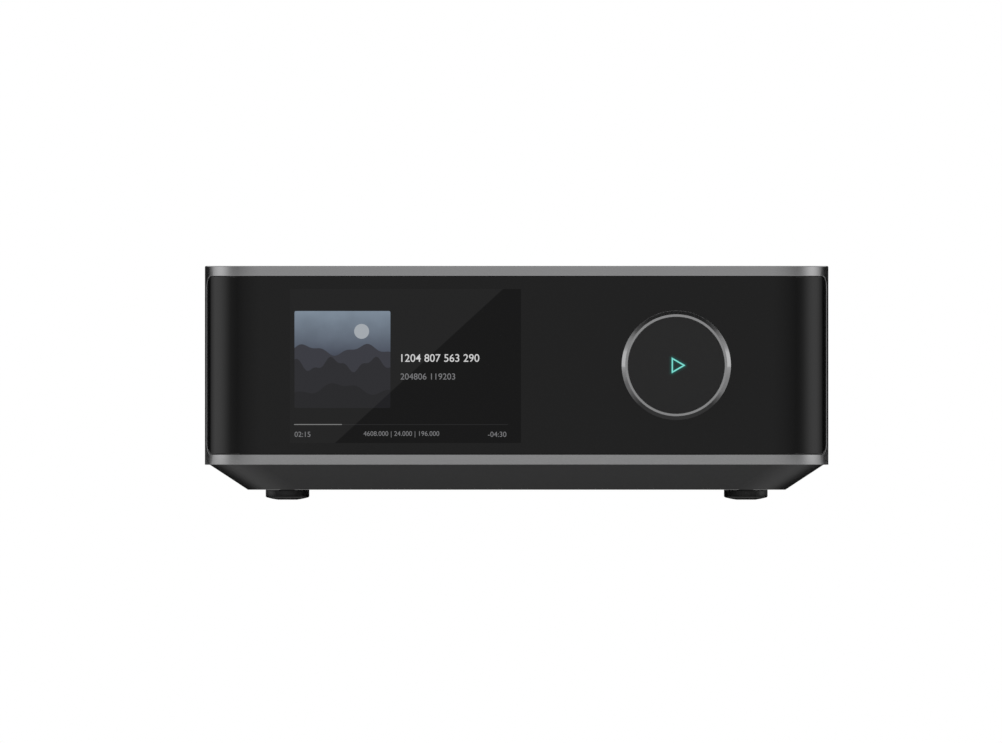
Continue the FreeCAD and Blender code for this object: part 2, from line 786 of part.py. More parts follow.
def make_front():
    band = shell_band("panel_band", S.panel_recess, S.case_wall, CASE_LOW, CASE_TOP)
    pane = common("panel_pane", band, window_block("panel_window", S.panel_gap))
    hole = rod("panel_knob_hole", on_knob(FRONT - PAST), S.bush_radius + S.running_clearance,
               S.case_wall + 2 * PAST, "Y")
    node("front_panel", cut("front_panel", pane, hole))

    carrier_top = ROOF_UNDER - S.carrier_roof_gap
    inner_inset = S.case_wall + S.carrier_thickness
    band = shell_band("carrier_band", S.case_wall, inner_inset, TAB_SEAT, carrier_top)
    reach = block("carrier_reach", (-SIDE, FRONT, CASE_LOW), (SIDE, FRONT + S.carrier_wrap, CASE_TOP))
    wrap = common("carrier_wrap", band, reach)
    tabs = []
    for index, (x, y) in enumerate(TAB_POINTS):
        low = (x - S.tab_width / 2, CARRIER_BACK - S.carrier_thickness / 2, TAB_SEAT)
        high = (x + S.tab_width / 2, CARRIER_BACK + S.tab_length, TAB_SEAT + S.tab_thickness)
        tabs.append(block(f"carrier_tab_{index}", low, high))
    holes = [rod(f"carrier_tab_hole_{index}", (x, y, CASE_LOW), S.screw_radius, S.base_height)
             for index, (x, y) in enumerate(TAB_POINTS)]
    width = S.display_width + 2 * S.display_gap
    height = DISPLAY_HEIGHT + 2 * S.display_gap
    start, end = FRONT, CARRIER_BACK + PAST
    holes.append(centred_block("carrier_display_hole", DISPLAY_X, DISPLAY_Z, width, height, start, end))
    radius = S.bush_radius + S.running_clearance
    holes.append(rod("carrier_knob_hole", on_knob(start), radius, end - start, "Y"))
    node("panel_carrier", cut("panel_carrier", join("carrier_with_tabs", wrap, *tabs), *holes))


def make_display():
    module = centred_block("display_module", DISPLAY_X, DISPLAY_Z, S.display_width,
                           DISPLAY_HEIGHT, WALL_BACK, DISPLAY_BACK)
    node("display_module", module)

    ribbons = []
    starts = ((DISPLAY_X, DISPLAY_BACK), (KNOB_RIBBON_X, KNOB_BOARD_BACK))
    for index, (x, start) in enumerate(starts):
        width = S.ribbon_width if index == 0 else S.knob_ribbon_width
        left, right = x - width / 2, x + width / 2
        drop = block(f"ribbon_drop_{index}", (left, start, BOARD_TOP),
                     (right, start + S.ribbon_thickness, BOARD_TOP + S.ribbon_drop))
        run = block(f"ribbon_run_{index}", (left, start, BOARD_TOP),
                    (right, BOARD_FRONT + S.ribbon_overlap, BOARD_TOP + S.ribbon_thickness))
        ribbons.append(join(f"ribbon_{index}", drop, run))
    node("ribbon_cables", group("ribbon_cables", *ribbons))


def make_knob_ring():
    chamfer = taper("ring_chamfer_part", on_knob(RING_FRONT), S.ring_radius - S.ring_chamfer,
                    S.ring_radius, S.ring_chamfer, "Y")
    barrel_start = RING_FRONT + S.ring_chamfer
    barrel = rod("ring_barrel", on_knob(barrel_start), S.ring_radius, RING_BACK - barrel_start, "Y")
    front_pocket = rod("ring_front_pocket", on_knob(RING_FRONT - PAST), RIM_INNER,
                       WEB_FRONT - RING_FRONT + PAST, "Y")
    bore = rod("ring_bore", on_knob(RING_FRONT), HUB_BORE, S.knob_reach, "Y")
    rear_pocket = rod("ring_rear_pocket", on_knob(WEB_BACK), MAGNET_OUTER,
                      RING_BACK - WEB_BACK + PAST, "Y")
    whole = join("ring_whole", chamfer, barrel)
    node("knob_ring", cut("knob_ring", whole, front_pocket, bore, rear_pocket))

    disc = rod("magnet_disc", on_knob(WEB_BACK), MAGNET_OUTER, S.magnet_thickness, "Y")
    hole = rod("magnet_hole", on_knob(WEB_BACK - PAST), MAGNET_OUTER - S.magnet_width,
               S.magnet_thickness + 2 * PAST, "Y")
    node("knob_magnets", cut("knob_magnets", disc, hole))


def make_knob_carriage():
    disc = rod("cap_disc", on_knob(CAP_FACE), RIM_INNER - S.cap_clearance, S.cap_thickness, "Y")
    line_outer = prism("cap_icon_outer", on_knob(CAP_FACE - PAST), TRIANGLE_SIDE_COUNT, S.icon_radius,
                       S.icon_depth + PAST, "Y")
    line_inner = prism("cap_icon_inner", on_knob(CAP_FACE - 2 * PAST), TRIANGLE_SIDE_COUNT,
                       S.icon_radius - 2 * S.icon_line, S.icon_depth + 4 * PAST, "Y")
    groove = cut("cap_icon_groove", line_outer, line_inner)
    node("knob_cap", cut("knob_cap", disc, groove))

    outer = prism("icon_outer", on_knob(CAP_FACE), TRIANGLE_SIDE_COUNT, S.icon_radius, S.icon_depth, "Y")
    inner = prism("icon_inner", on_knob(CAP_FACE - PAST), TRIANGLE_SIDE_COUNT,
                  S.icon_radius - 2 * S.icon_line, S.icon_depth + 2 * PAST, "Y")
    node("knob_icon", cut("knob_icon", outer, inner))

    tube = rod("hub_tube", on_knob(CAP_BACK), S.hub_radius, HUB_BACK - CAP_BACK, "Y")
    flange = rod("hub_flange_disc", on_knob(HUB_FLANGE), S.hub_radius + S.hub_flange, S.hub_web, "Y")
    bore = rod("hub_bore", on_knob(CAP_BACK - PAST), S.hub_bore_radius, HUB_FLANGE - CAP_BACK + PAST, "Y")
    node("knob_hub", cut("knob_hub", join("hub_whole", tube, flange), bore))

    start = WEB_BACK + S.retainer_play
    washer = rod("retainer_disc", on_knob(start), S.hub_radius + S.retainer_width,
                 S.retainer_thickness, "Y")
    hole = rod("retainer_hole", on_knob(start - PAST), S.hub_radius, S.retainer_thickness + 2 * PAST, "Y")
    node("knob_retainer", cut("knob_retainer", washer, hole))
    node("knob_plunger", rod("knob_plunger", on_knob(HUB_BACK), S.plunger_radius, S.plunger_length, "Y"))


def make_knob_mounting():
    radius = S.bush_radius
    tube = rod("bush_tube", on_knob(PANEL_FACE), radius, BUSH_BACK - PANEL_FACE, "Y")
    plate = centred_block("bush_plate_part", KNOB_X, KNOB_Z, S.bush_plate, S.bush_plate,
                          CARRIER_BACK, BUSH_BACK)
    legs = []
    reach = S.bush_plate / 2 - S.bush_leg_radius - S.bush_leg_edge
    leg_points = corners(KNOB_X - reach, KNOB_X + reach, KNOB_Z - reach, KNOB_Z + reach)
    leg_start = BUSH_BACK - S.bush_flange / 2
    for index, (x, z) in enumerate(leg_points):
        legs.append(rod(f"bush_leg_{index}", (x, leg_start, z), S.bush_leg_radius,
                        KNOB_BOARD_FRONT - leg_start, "Y"))
    bore = rod("bush_bore", on_knob(PANEL_FACE - PAST), HUB_BORE, BUSH_BACK - PANEL_FACE + 2 * PAST, "Y")
    node("knob_bush", cut("knob_bush", join("bush_whole", tube, plate, *legs), bore))

    half = S.bush_plate / 2
    low = (KNOB_BOARD_LEFT, KNOB_BOARD_FRONT, KNOB_Z - half)
    high = (KNOB_X + half, KNOB_BOARD_BACK, KNOB_Z + half)
    node("knob_board", block("knob_board", low, high))

    switch_body = centred_block("switch_body", KNOB_X, KNOB_Z, S.switch_width, S.switch_width,
                                SWITCH_FRONT, KNOB_BOARD_FRONT)
    well = rod("switch_well", on_knob(SWITCH_FRONT - PAST), S.plunger_radius + S.plunger_clearance,
               S.plunger_bore_depth + PAST, "Y")
    node("knob_switch", cut("knob_switch", switch_body, well))


# The loudspeaker posts, from the plate outwards
POST_X = S.post_side - SIDE
POST_Z = (OPENING_LOW + OPENING_HIGH) / 2 + S.post_lift
POST_BASE_FACE = PLATE_FACE + S.post_plate_thickness
SPIGOT_END = PLATE_INNER - S.post_spigot_proud
NUT_END = SPIGOT_END - S.nut_thickness
WASHER_START = POST_BASE_FACE + S.washer_gap
GRIP_START = WASHER_START + S.washer_thickness + S.washer_gap
GRIP_END = REAR + S.terminal_reach
STEM_START = SPIGOT_END - S.stem_inner_length
STEM_END = GRIP_END - S.grip_wall - S.grip_end_gap
THREAD_BORE = S.stem_radius + S.running_clearance
POST_POINTS = corners(POST_X - S.post_pitch / 2, POST_X + S.post_pitch / 2,
                      POST_Z - S.post_pitch / 2, POST_Z + S.post_pitch / 2)


def make_posts():
    plate = centred_block("post_base_plate", POST_X, POST_Z, S.post_plate, S.post_plate,
                          PLATE_FACE, POST_BASE_FACE)
    spigots = []
    holes = []
    nuts = []
    for index, (x, z) in enumerate(POST_POINTS, start=1):
        start = (x, SPIGOT_END, z)
        length = PLATE_FACE - SPIGOT_END
        spigots.append(rod(f"post_spigot_{index}", start, S.post_spigot_radius, length, "Y"))
        start = (x, SPIGOT_END - PAST, z)
        length = POST_BASE_FACE - SPIGOT_END + 2 * PAST
        holes.append(rod(f"post_base_hole_{index}", start, THREAD_BORE, length, "Y"))
        hexagon = prism(f"post_nut_blank_{index}", (x, NUT_END, z), HEXAGON_SIDE_COUNT,
                        S.nut_radius, S.nut_thickness, "Y")
        length = S.nut_thickness + 2 * PAST
        thread = rod(f"post_nut_hole_{index}", (x, NUT_END - PAST, z), THREAD_BORE, length, "Y")
        nuts.append(cut(f"post_nut_{index}", hexagon, thread))
        make_one_post(index, x, z)
    node("post_base", cut("post_base", join("post_base_whole", plate, *spigots), *holes))
    node("post_nuts", group("post_nuts", *nuts))


def make_one_post(index, x, z):
    """A fixed stem with a plug socket, a clamping washer and a screwed grip."""
    stem = rod(f"stem_rod_{index}", (x, STEM_START, z), S.stem_radius, STEM_END - STEM_START, "Y")
    start = (x, STEM_END - S.banana_depth, z)
    socket = rod(f"stem_socket_{index}", start, S.banana_radius, S.banana_depth + PAST, "Y")
    node(f"post_stem_{index}", cut(f"post_stem_{index}", stem, socket))

    disc = rod(f"washer_disc_{index}", (x, WASHER_START, z), S.washer_radius, S.washer_thickness, "Y")
    start = (x, WASHER_START - PAST, z)
    hole = rod(f"washer_hole_{index}", start, THREAD_BORE, S.washer_thickness + 2 * PAST, "Y")
    node(f"post_washer_{index}", cut(f"post_washer_{index}", disc, hole))

    chamfer_start = GRIP_END - S.grip_chamfer
    barrel = rod(f"grip_barrel_{index}", (x, GRIP_START, z), S.grip_radius, chamfer_start - GRIP_START, "Y")
    end = taper(f"grip_end_{index}", (x, chamfer_start, z), S.grip_radius,
                S.grip_radius - S.grip_chamfer, S.grip_chamfer, "Y")
    thread_length = GRIP_END - S.grip_wall - GRIP_START + PAST
    thread = rod(f"grip_thread_{index}", (x, GRIP_START - PAST, z), THREAD_BORE, thread_length, "Y")
    mouth_start = (x, GRIP_END - S.grip_wall - PAST, z)
    mouth = rod(f"grip_mouth_{index}", mouth_start, S.grip_hole_radius, S.grip_wall + 2 * PAST, "Y")
    flutes = []
    orbit = S.grip_radius + S.flute_radius / 2
    for step in range(FLUTE_COUNT):
        angle = 2 * math.pi * step / FLUTE_COUNT
        start = (x + orbit * math.cos(angle), GRIP_START + S.flute_start, z + orbit * math.sin(angle))
        flutes.append(rod(f"flute_{index}_{step}", start, S.flute_radius, GRIP_END - GRIP_START, "Y"))
    whole = join(f"grip_whole_{index}", barrel, end)
    node(f"post_cap_{index}", cut(f"post_cap_{index}", whole, thread, mouth, *flutes))


def spread(low, high, widths):
    """The middles of things of these widths, with equal gaps between them and at both ends."""
    gap = high - low
    for width in widths:
        gap = gap - width
    gap = gap / (len(widths) + 1)
    middles = []
    edge = low
    for width in widths:
        middles.append(edge + gap + width / 2)
        edge = edge + gap + width
    return middles


# The sockets share the room between the posts and the mains inlet
INLET_X = SIDE - S.inlet_side
SOCKETS_LEFT = POST_X + S.post_plate / 2
SOCKETS_RIGHT = INLET_X - S.inlet_flange_width / 2
JACK_NAMES = ("line_in_left_jack", "line_in_right_jack", "sub_out_jack")
*JACK_XS, TRIGGER_X = spread(SOCKETS_LEFT, SOCKETS_RIGHT,
                             [2 * S.jack_flange_radius] * len(JACK_NAMES) + [2 * S.trigger_nut_radius])
OPTICAL_X, HDMI_X, USB_X, ETHERNET_X = spread(SOCKETS_LEFT, SOCKETS_RIGHT, [
    S.optical_size, S.hdmi_width, S.usb_width, S.ethernet_width])

# The upper board and the jacks that stand on it
INPUT_LOW = BOARD_TOP + S.input_board_lift
INPUT_TOP = INPUT_LOW + S.board_thickness
JACK_Z = INPUT_TOP + S.jack_rise
JACK_END = PLATE_FACE + S.jack_reach


def make_jacks():
    insulators = []
    contacts = []
    nose_end = JACK_END - S.jack_nose_setback
    for index, (name, x) in enumerate(zip(JACK_NAMES, JACK_XS)):
        barrel = rod(f"{name}_barrel", (x, PLATE_INNER, JACK_Z), S.jack_radius, JACK_END - PLATE_INNER, "Y")
        flange = rod(f"{name}_flange", (x, PLATE_FACE, JACK_Z), S.jack_flange_radius,
                     S.jack_flange_thickness, "Y")
        start = (x, PLATE_INNER - PAST, JACK_Z)
        hollow = rod(f"{name}_hollow", start, S.jack_bore_radius, JACK_END - PLATE_INNER + 2 * PAST, "Y")
        node(name, cut(name, join(f"{name}_whole", barrel, flange), hollow))

        low = (x - S.jack_housing_width / 2, PLATE_INNER - S.jack_housing_depth, INPUT_TOP)
        high = (x + S.jack_housing_width / 2, PLATE_INNER, JACK_Z + S.jack_housing_width / 2)
        housing = block(f"jack_housing_{index}", low, high)
        start = (x, PLATE_INNER - PAST, JACK_Z)
        nose = rod(f"jack_nose_{index}", start, S.jack_bore_radius - S.jack_nose_gap,
                   nose_end - PLATE_INNER + PAST, "Y")
        start = (x, PLATE_INNER - S.jack_housing_depth - PAST, JACK_Z)
        hole = rod(f"jack_core_hole_{index}", start, S.jack_contact_radius,
                   JACK_END - PLATE_INNER + S.jack_housing_depth + PAST, "Y")
        insulators.append(cut(f"jack_insulator_{index}", join(f"jack_core_{index}", housing, nose), hole))

        start = (x, nose_end - S.jack_pin_depth - S.jack_contact_end, JACK_Z)
        sleeve = rod(f"jack_sleeve_{index}", start, S.jack_contact_radius,
                     S.jack_pin_depth + S.jack_contact_end, "Y")
        start = (x, nose_end - S.jack_pin_depth, JACK_Z)
        bore = rod(f"jack_bore_{index}", start, S.jack_pin_radius, S.jack_pin_depth + PAST, "Y")
        contacts.append(cut(f"jack_contact_{index}", sleeve, bore))
    node("jack_insulators", group("jack_insulators", *insulators))
    node("jack_contacts", group("jack_contacts", *contacts))

    x = TRIGGER_X
    trigger_end = PLATE_FACE + S.trigger_reach
    low = (x - S.jack_housing_width / 2, trigger_end - S.trigger_depth - S.jack_contact_end, INPUT_TOP)
    high = (x + S.jack_housing_width / 2, PLATE_INNER, JACK_Z + S.jack_housing_width / 2)
    housing = block("trigger_housing", low, high)
    start = (x, PLATE_INNER - PAST, JACK_Z)
    nose = rod("trigger_nose", start, S.trigger_nose_radius, trigger_end - PLATE_INNER + PAST, "Y")
    ring = rod("trigger_ring", (x, PLATE_FACE, JACK_Z), S.trigger_nut_radius, S.trigger_nut_thickness, "Y")
    start = (x, trigger_end - S.trigger_depth, JACK_Z)
    bore = rod("trigger_bore", start, S.trigger_radius, S.trigger_depth + PAST, "Y")
    node("trigger_jack", cut("trigger_jack", join("trigger_whole", housing, nose, ring), bore))


def socket_shell(name, x, width, height, wall, depth, mouth_depth, lift=0):
    """A socket's outer box standing on the main board, and the box that opens it to the rear."""
    middle = BOARD_TOP + lift + height / 2
    shell = centred_block(f"{name}_shell", x, middle, width, height, PORT_FACE - depth, PORT_FACE)
    mouth = centred_block(f"{name}_mouth", x, middle, width - 2 * wall, height - 2 * wall,
                          PORT_FACE - mouth_depth, PORT_FACE + PAST)
    return shell, mouth, middle


def make_tongue_port(name, x, width, height, wall, depth, mouth_depth, tongue_width, tongue, tongue_rise):
    shell, mouth, middle = socket_shell(name, x, width, height, wall, depth, mouth_depth)
    blade = centred_block(f"{name}_tongue", x, middle + tongue_rise, tongue_width, tongue,
                          PORT_FACE - mouth_depth - PAST, PORT_FACE - S.tongue_setback)
    node(name, join(name, cut(f"{name}_open", shell, mouth), blade))


OPTICAL_MIDDLE = BOARD_TOP + S.optical_size / 2
SHUTTER_TOP = OPTICAL_MIDDLE + S.optical_mouth / 2 - S.shutter_gap
SHUTTER_PIVOT_Z = SHUTTER_TOP - S.shutter_thickness / 2
SHUTTER_Y = PORT_FACE - S.shutter_setback - S.shutter_thickness / 2


def make_optical_port():
    shell, mouth, middle = socket_shell("optical_port", OPTICAL_X, S.optical_size, S.optical_size,
                                        (S.optical_size - S.optical_mouth) / 2, S.optical_depth,
                                        S.optical_mouth_depth)
    pin_reach = S.optical_mouth / 2 + S.shutter_pin_length
    radius = S.shutter_thickness / 2
    start = (OPTICAL_X - pin_reach - S.running_clearance, SHUTTER_Y, SHUTTER_PIVOT_Z)
    length = 2 * (pin_reach + S.running_clearance)
    socket = rod("shutter_sockets", start, radius + S.running_clearance, length, "X")
    node("optical_port", cut("optical_port", shell, mouth, socket))

    pin = rod("shutter_pin", (OPTICAL_X - pin_reach, SHUTTER_Y, SHUTTER_PIVOT_Z), radius,
              2 * pin_reach, "X")
    half = S.optical_mouth / 2 - S.shutter_gap
    low = (OPTICAL_X - half, SHUTTER_Y - radius, middle - half)
    high = (OPTICAL_X + half, SHUTTER_Y + radius, SHUTTER_PIVOT_Z)
    node("optical_shutter", join("optical_shutter", pin, block("shutter_flap", low, high)))


def make_ports():
    make_optical_port()
    make_tongue_port("hdmi_port", HDMI_X, S.hdmi_width, S.hdmi_height, S.hdmi_wall, S.hdmi_depth,
                     S.hdmi_mouth_depth, S.hdmi_tongue_width, S.hdmi_tongue_thickness, 0)
    usb_rise = S.usb_height / 2 - S.usb_wall - S.usb_tongue_thickness / 2 - S.usb_tongue_gap
    make_tongue_port("usb_port", USB_X, S.usb_width, S.usb_height, S.usb_wall, S.usb_depth,
                     S.usb_mouth_depth, S.usb_tongue_width, S.usb_tongue_thickness, usb_rise)

    middle = BOARD_TOP + S.ethernet_height / 2
    shell = centred_block("ethernet_shell", ETHERNET_X, middle, S.ethernet_width, S.ethernet_height,
                          PORT_FACE - S.ethernet_depth, PORT_FACE)
    mouth_start = PORT_FACE - S.ethernet_mouth_depth
    mouth_z = ETHERNET_MOUTH_LOW + S.ethernet_mouth_height / 2
    mouth = centred_block("ethernet_mouth", ETHERNET_X, mouth_z, S.ethernet_mouth_width,
                          S.ethernet_mouth_height, mouth_start, PORT_FACE + PAST)
    notch_z = ETHERNET_MOUTH_LOW - S.ethernet_latch_height / 2 + PAST / 2
    notch = centred_block("ethernet_notch", ETHERNET_X, notch_z, S.ethernet_latch_width,
                          S.ethernet_latch_height + PAST, mouth_start, PORT_FACE + PAST)
    node("ethernet_port", cut("ethernet_port", shell, mouth, notch))


ETHERNET_MOUTH_LOW = BOARD_TOP + S.ethernet_latch_height + S.ethernet_mouth_rise
INLET_Z = CASE_LOW + S.inlet_rise
INLET_FACE = PLATE_FACE + S.inlet_flange_thickness


def make_mains_inlet():
    x = INLET_X
    flange = centred_block("inlet_flange", x, INLET_Z, S.inlet_flange_width, S.inlet_flange_height,
                           PLATE_FACE, INLET_FACE)
    housing = centred_block("inlet_housing", x, INLET_Z, S.inlet_body_width, S.inlet_body_height,
                            PLATE_FACE - S.inlet_body_depth, PLATE_FACE)
    lobe = S.inlet_mouth_height / 2
    lobe_offset = S.inlet_mouth_width / 2 - lobe
    start_y = INLET_FACE - S.inlet_mouth_depth
    length = S.inlet_mouth_depth + PAST
    lobes = [rod(f"inlet_lobe_{index}", (x + lobe_offset * sign, start_y, INLET_Z), lobe, length, "Y")
             for index, sign in enumerate((-1, 1))]
    waist = centred_block("inlet_waist", x, INLET_Z, 2 * lobe_offset, S.inlet_waist_height,
                          start_y, INLET_FACE + PAST)
    pin_start = PLATE_FACE - S.inlet_body_depth - S.inlet_tag_length
    pin_end = INLET_FACE - S.inlet_pin_setback
    holes = []
    pins = []
    for index, sign in enumerate((-1, 1)):
        pin_x = x + S.inlet_pin_pitch / 2 * sign
        radius = S.inlet_pin_radius + S.inlet_pin_clearance
        holes.append(rod(f"inlet_pin_hole_{index}", (pin_x, pin_start, INLET_Z), radius,
                         start_y - pin_start + PAST, "Y"))
        pins.append(rod(f"inlet_pin_{index}", (pin_x, pin_start, INLET_Z), S.inlet_pin_radius,
                        pin_end - pin_start, "Y"))
    whole = join("inlet_whole", flange, housing)
    node("mains_inlet", cut("mains_inlet", whole, *lobes, waist, *holes))
    node("inlet_pins", group("inlet_pins", *pins))


def make_rear_plate():
    plate_side = SIDE - S.case_corner - S.rear_plate_side_gap
    low = (-plate_side, PLATE_INNER, CASE_LOW + S.rear_plate_low)
    high = (plate_side, PLATE_FACE, ROOF_UNDER - S.rear_plate_high)
    plate = block("rear_plate_blank", low, high)
    start_y = PLATE_INNER - PAST
    length = S.rear_plate_thickness + 2 * PAST
    gap = S.rear_hole_gap
    holes = []

    def round_hole(name, x, z, radius):
        holes.append(rod(f"plate_hole_{name}", (x, start_y, z), radius, length, "Y"))

    def square_hole(name, x, z, width, height):
        holes.append(centred_block(f"plate_hole_{name}", x, z, width + 2 * gap, height + 2 * gap,
                                   start_y, start_y + length))

    for index, (x, z) in enumerate(POST_POINTS):
        round_hole(f"post_{index}", x, z, S.post_spigot_radius + gap)
    for index, x in enumerate(JACK_XS):
        round_hole(f"jack_{index}", x, JACK_Z, S.jack_radius + gap)
    round_hole("trigger", TRIGGER_X, JACK_Z, S.trigger_nose_radius + gap)
    for index, (x, z) in enumerate(REAR_SCREW_POINTS):
        round_hole(f"screw_{index}", x, z, S.screw_radius)
    square_hole("optical", OPTICAL_X, OPTICAL_MIDDLE, S.optical_size, S.optical_size)
    square_hole("hdmi", HDMI_X, BOARD_TOP + S.hdmi_height / 2, S.hdmi_width, S.hdmi_height)
    square_hole("usb", USB_X, BOARD_TOP + S.usb_height / 2, S.usb_width, S.usb_height)
    square_hole("ethernet", ETHERNET_X, BOARD_TOP + S.ethernet_height / 2,
                S.ethernet_width, S.ethernet_height)
    square_hole("inlet", INLET_X, INLET_Z, S.inlet_body_width, S.inlet_body_height)
    node("rear_panel", cut("rear_panel", plate, *holes))

    screws = [screw(f"rear_screw_{index}", (x, REAR, z), "Y", 1, S.screw_length)
              for index, (x, z) in enumerate(REAR_SCREW_POINTS)]
    node("rear_screws", group("rear_screws", *screws))


def make_boards():
    spans = (("main_board", MAIN_LEFT, MAIN_RIGHT, MAIN_POINTS),
             ("supply_board", SUPPLY_LEFT, SUPPLY_RIGHT, SUPPLY_POINTS))
    for name, left, right, points in spans:
        sheet_block = block(f"{name}_blank", (left, BOARD_FRONT, BOARD_LOW), (right, BOARD_REAR, BOARD_TOP))
        holes = [rod(f"{name}_hole_{index}", (x, y, BOARD_LOW - PAST), S.screw_radius,
                     S.board_thickness + 2 * PAST) for index, (x, y) in enumerate(points)]
        node(name, cut(name, sheet_block, *holes))

    left = SOCKETS_LEFT + S.input_board_side_gap
    right = SOCKETS_RIGHT - S.input_board_side_gap
    front = PLATE_INNER - S.input_board_gap - S.input_board_depth
    low = (left, front, INPUT_LOW)
    high = (right, front + S.input_board_depth, INPUT_TOP)
    node("input_board", block("input_board", low, high))
    standoffs = []
    for index, x in enumerate((left + S.standoff_edge, right - S.standoff_edge)):
        start = (x, front + S.standoff_edge, BOARD_TOP)
        standoffs.append(prism(f"standoff_{index}", start, HEXAGON_SIDE_COUNT,
                               S.standoff_radius, S.input_board_lift))
    node("input_standoffs", group("input_standoffs", *standoffs))


def make_board_parts():
    sink_low_z = BOARD_TOP + S.amp_chip_height
    sink_left = MAIN_LEFT + S.sink_left_gap
    sink_front = BOARD_FRONT + S.sink_front_gap
    coil_y = BOARD_REAR - S.coil_rear_gap
    sink_rear = coil_y - S.coil_radius - S.coil_gap
    plate = block("sink_plate", (sink_left, sink_front, sink_low_z),
                  (sink_left + S.sink_width, sink_rear, sink_low_z + S.sink_base))
    fins = []
    first = sink_left + (S.sink_width - S.fin_thickness - S.fin_pitch * (FIN_COUNT - 1)) / 2
    for index in range(FIN_COUNT):
        left = first + S.fin_pitch * index
        low = (left, sink_front, sink_low_z + S.sink_base / 2)
        high = (left + S.fin_thickness, sink_rear, sink_low_z + S.sink_height)
        fins.append(block(f"sink_fin_{index}", low, high))
    node("heat_sink", join("heat_sink", plate, *fins))

    chips = []

    def chip(name, x, y, width, depth, height):
        low = (x - width / 2, y - depth / 2, BOARD_TOP)
        chips.append(block(f"chip_{name}", low, (x + width / 2, y + depth / 2, BOARD_TOP + height)))

    sink_middle = sink_left + S.sink_width / 2
    for index, share in enumerate((1, 3)):
        y = sink_front + (sink_rear - sink_front) * share / 4
        chip(f"amplifier_{index}", sink_middle, y, S.amp_chip_width, S.amp_chip_width, S.amp_chip_height)
    chip("processor", S.can_x + S.chip_step, S.can_y, S.chip_width, S.chip_width, S.chip_height)
    chip("converter", S.can_x, S.can_y + S.chip_step, S.chip_width, S.chip_width, S.chip_height)
    ribbon_end = BOARD_FRONT + S.ribbon_overlap
    connector_y = ribbon_end + S.connector_depth / 2
    chip("display_connector", DISPLAY_X, connector_y, S.ribbon_width + S.connector_extra,
         S.connector_depth, S.connector_height)
    chip("knob_connector", KNOB_RIBBON_X, connector_y, S.knob_ribbon_width + S.connector_extra,
         S.connector_depth, S.connector_height)
    node("board_chips", group("board_chips", *chips))

    low = (S.can_x - S.can_width / 2, S.can_y - S.can_depth / 2, BOARD_TOP)
    high = (S.can_x + S.can_width / 2, S.can_y + S.can_depth / 2, BOARD_TOP + S.can_height)
    node("shield_can", block("shield_can", low, high))

    coils = []
    for index in range(COIL_COUNT):
        x = MAIN_LEFT + S.coil_edge + S.coil_pitch * index
        coils.append(rod(f"coil_{index}", (x, coil_y, BOARD_TOP), S.coil_radius, S.coil_height))
    node("filter_coils", group("filter_coils", *coils))


def make_supply_parts():
    middle = (SUPPLY_LEFT + SUPPLY_RIGHT) / 2
    centre_y = BOARD_FRONT + S.transformer_front
    low = (middle - S.transformer_width / 2, centre_y - S.transformer_depth / 2, BOARD_TOP)
    high = (middle + S.transformer_width / 2, centre_y + S.transformer_depth / 2,
            BOARD_TOP + S.transformer_height)
    node("transformer", block("transformer", low, high))

    tanks = []
    for index, (step_x, step_y) in enumerate(((-1, 0), (1, 0), (-1, 1), (1, 1))):
        x = middle + step_x * S.capacitor_pitch / 2
        y = BOARD_FRONT + S.capacitor_front + step_y * S.capacitor_pitch
        tanks.append(rod(f"capacitor_{index}", (x, y, BOARD_TOP), S.capacitor_radius, S.capacitor_height))
    node("supply_capacitors", group("supply_capacitors", *tanks))

    fuse_z = BOARD_TOP + S.fuse_lift
    fuse_y = BOARD_FRONT + S.fuse_front
    fuse = rod("fuse_tube", (middle, fuse_y, fuse_z), S.fuse_radius, S.fuse_length, "Y")
    clips = []
    for index in range(2):
        start = fuse_y + (S.fuse_length - S.fuse_clip_length) * index
        low = (middle - S.fuse_radius - S.fuse_clip_wall, start, BOARD_TOP)
        high = (middle + S.fuse_radius + S.fuse_clip_wall, start + S.fuse_clip_length, fuse_z)
        bed = rod(f"fuse_bed_{index}", (middle, start - PAST, fuse_z), S.fuse_radius,
                  S.fuse_clip_length + 2 * PAST, "Y")
        clips.append(cut(f"fuse_clip_{index}", block(f"fuse_clip_block_{index}", low, high), bed))
    node("mains_fuse", group("mains_fuse", fuse, *clips))


def check_and_write():
    doc.recompute()
    failed = [item.Name for item in doc.Objects if {"Invalid", "Error"} & set(item.State)]
    if failed:
        raise RuntimeError(f"these objects failed: {failed}")
    for name, piece in nodes.items():
        shape = piece.Shape
        if shape.isNull() or not shape.isValid() or not shape.Solids:
            raise RuntimeError(f"{name} has no valid solid")
    os.makedirs("parts", exist_ok=True)
    for name, piece in nodes.items():
        piece.Shape.exportStep(f"parts/{name}.step")
        print(name, len(piece.Shape.Solids), round(piece.Shape.Volume, 1))


make_case()
make_base()
make_feet()
make_base_screws()
make_inner_screws()
make_front()
make_display()
make_knob_ring()
make_knob_carriage()
make_knob_mounting()
make_posts()
make_jacks()
make_ports()
make_mains_inlet()
make_rear_plate()
make_boards()
make_board_parts()
make_supply_parts()
check_and_write()
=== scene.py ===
"""The looks of a compact streaming amplifier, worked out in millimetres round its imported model.

The front faces -Y, +X is to the right as seen from the front, and +Z is up.
"""
import json
import math

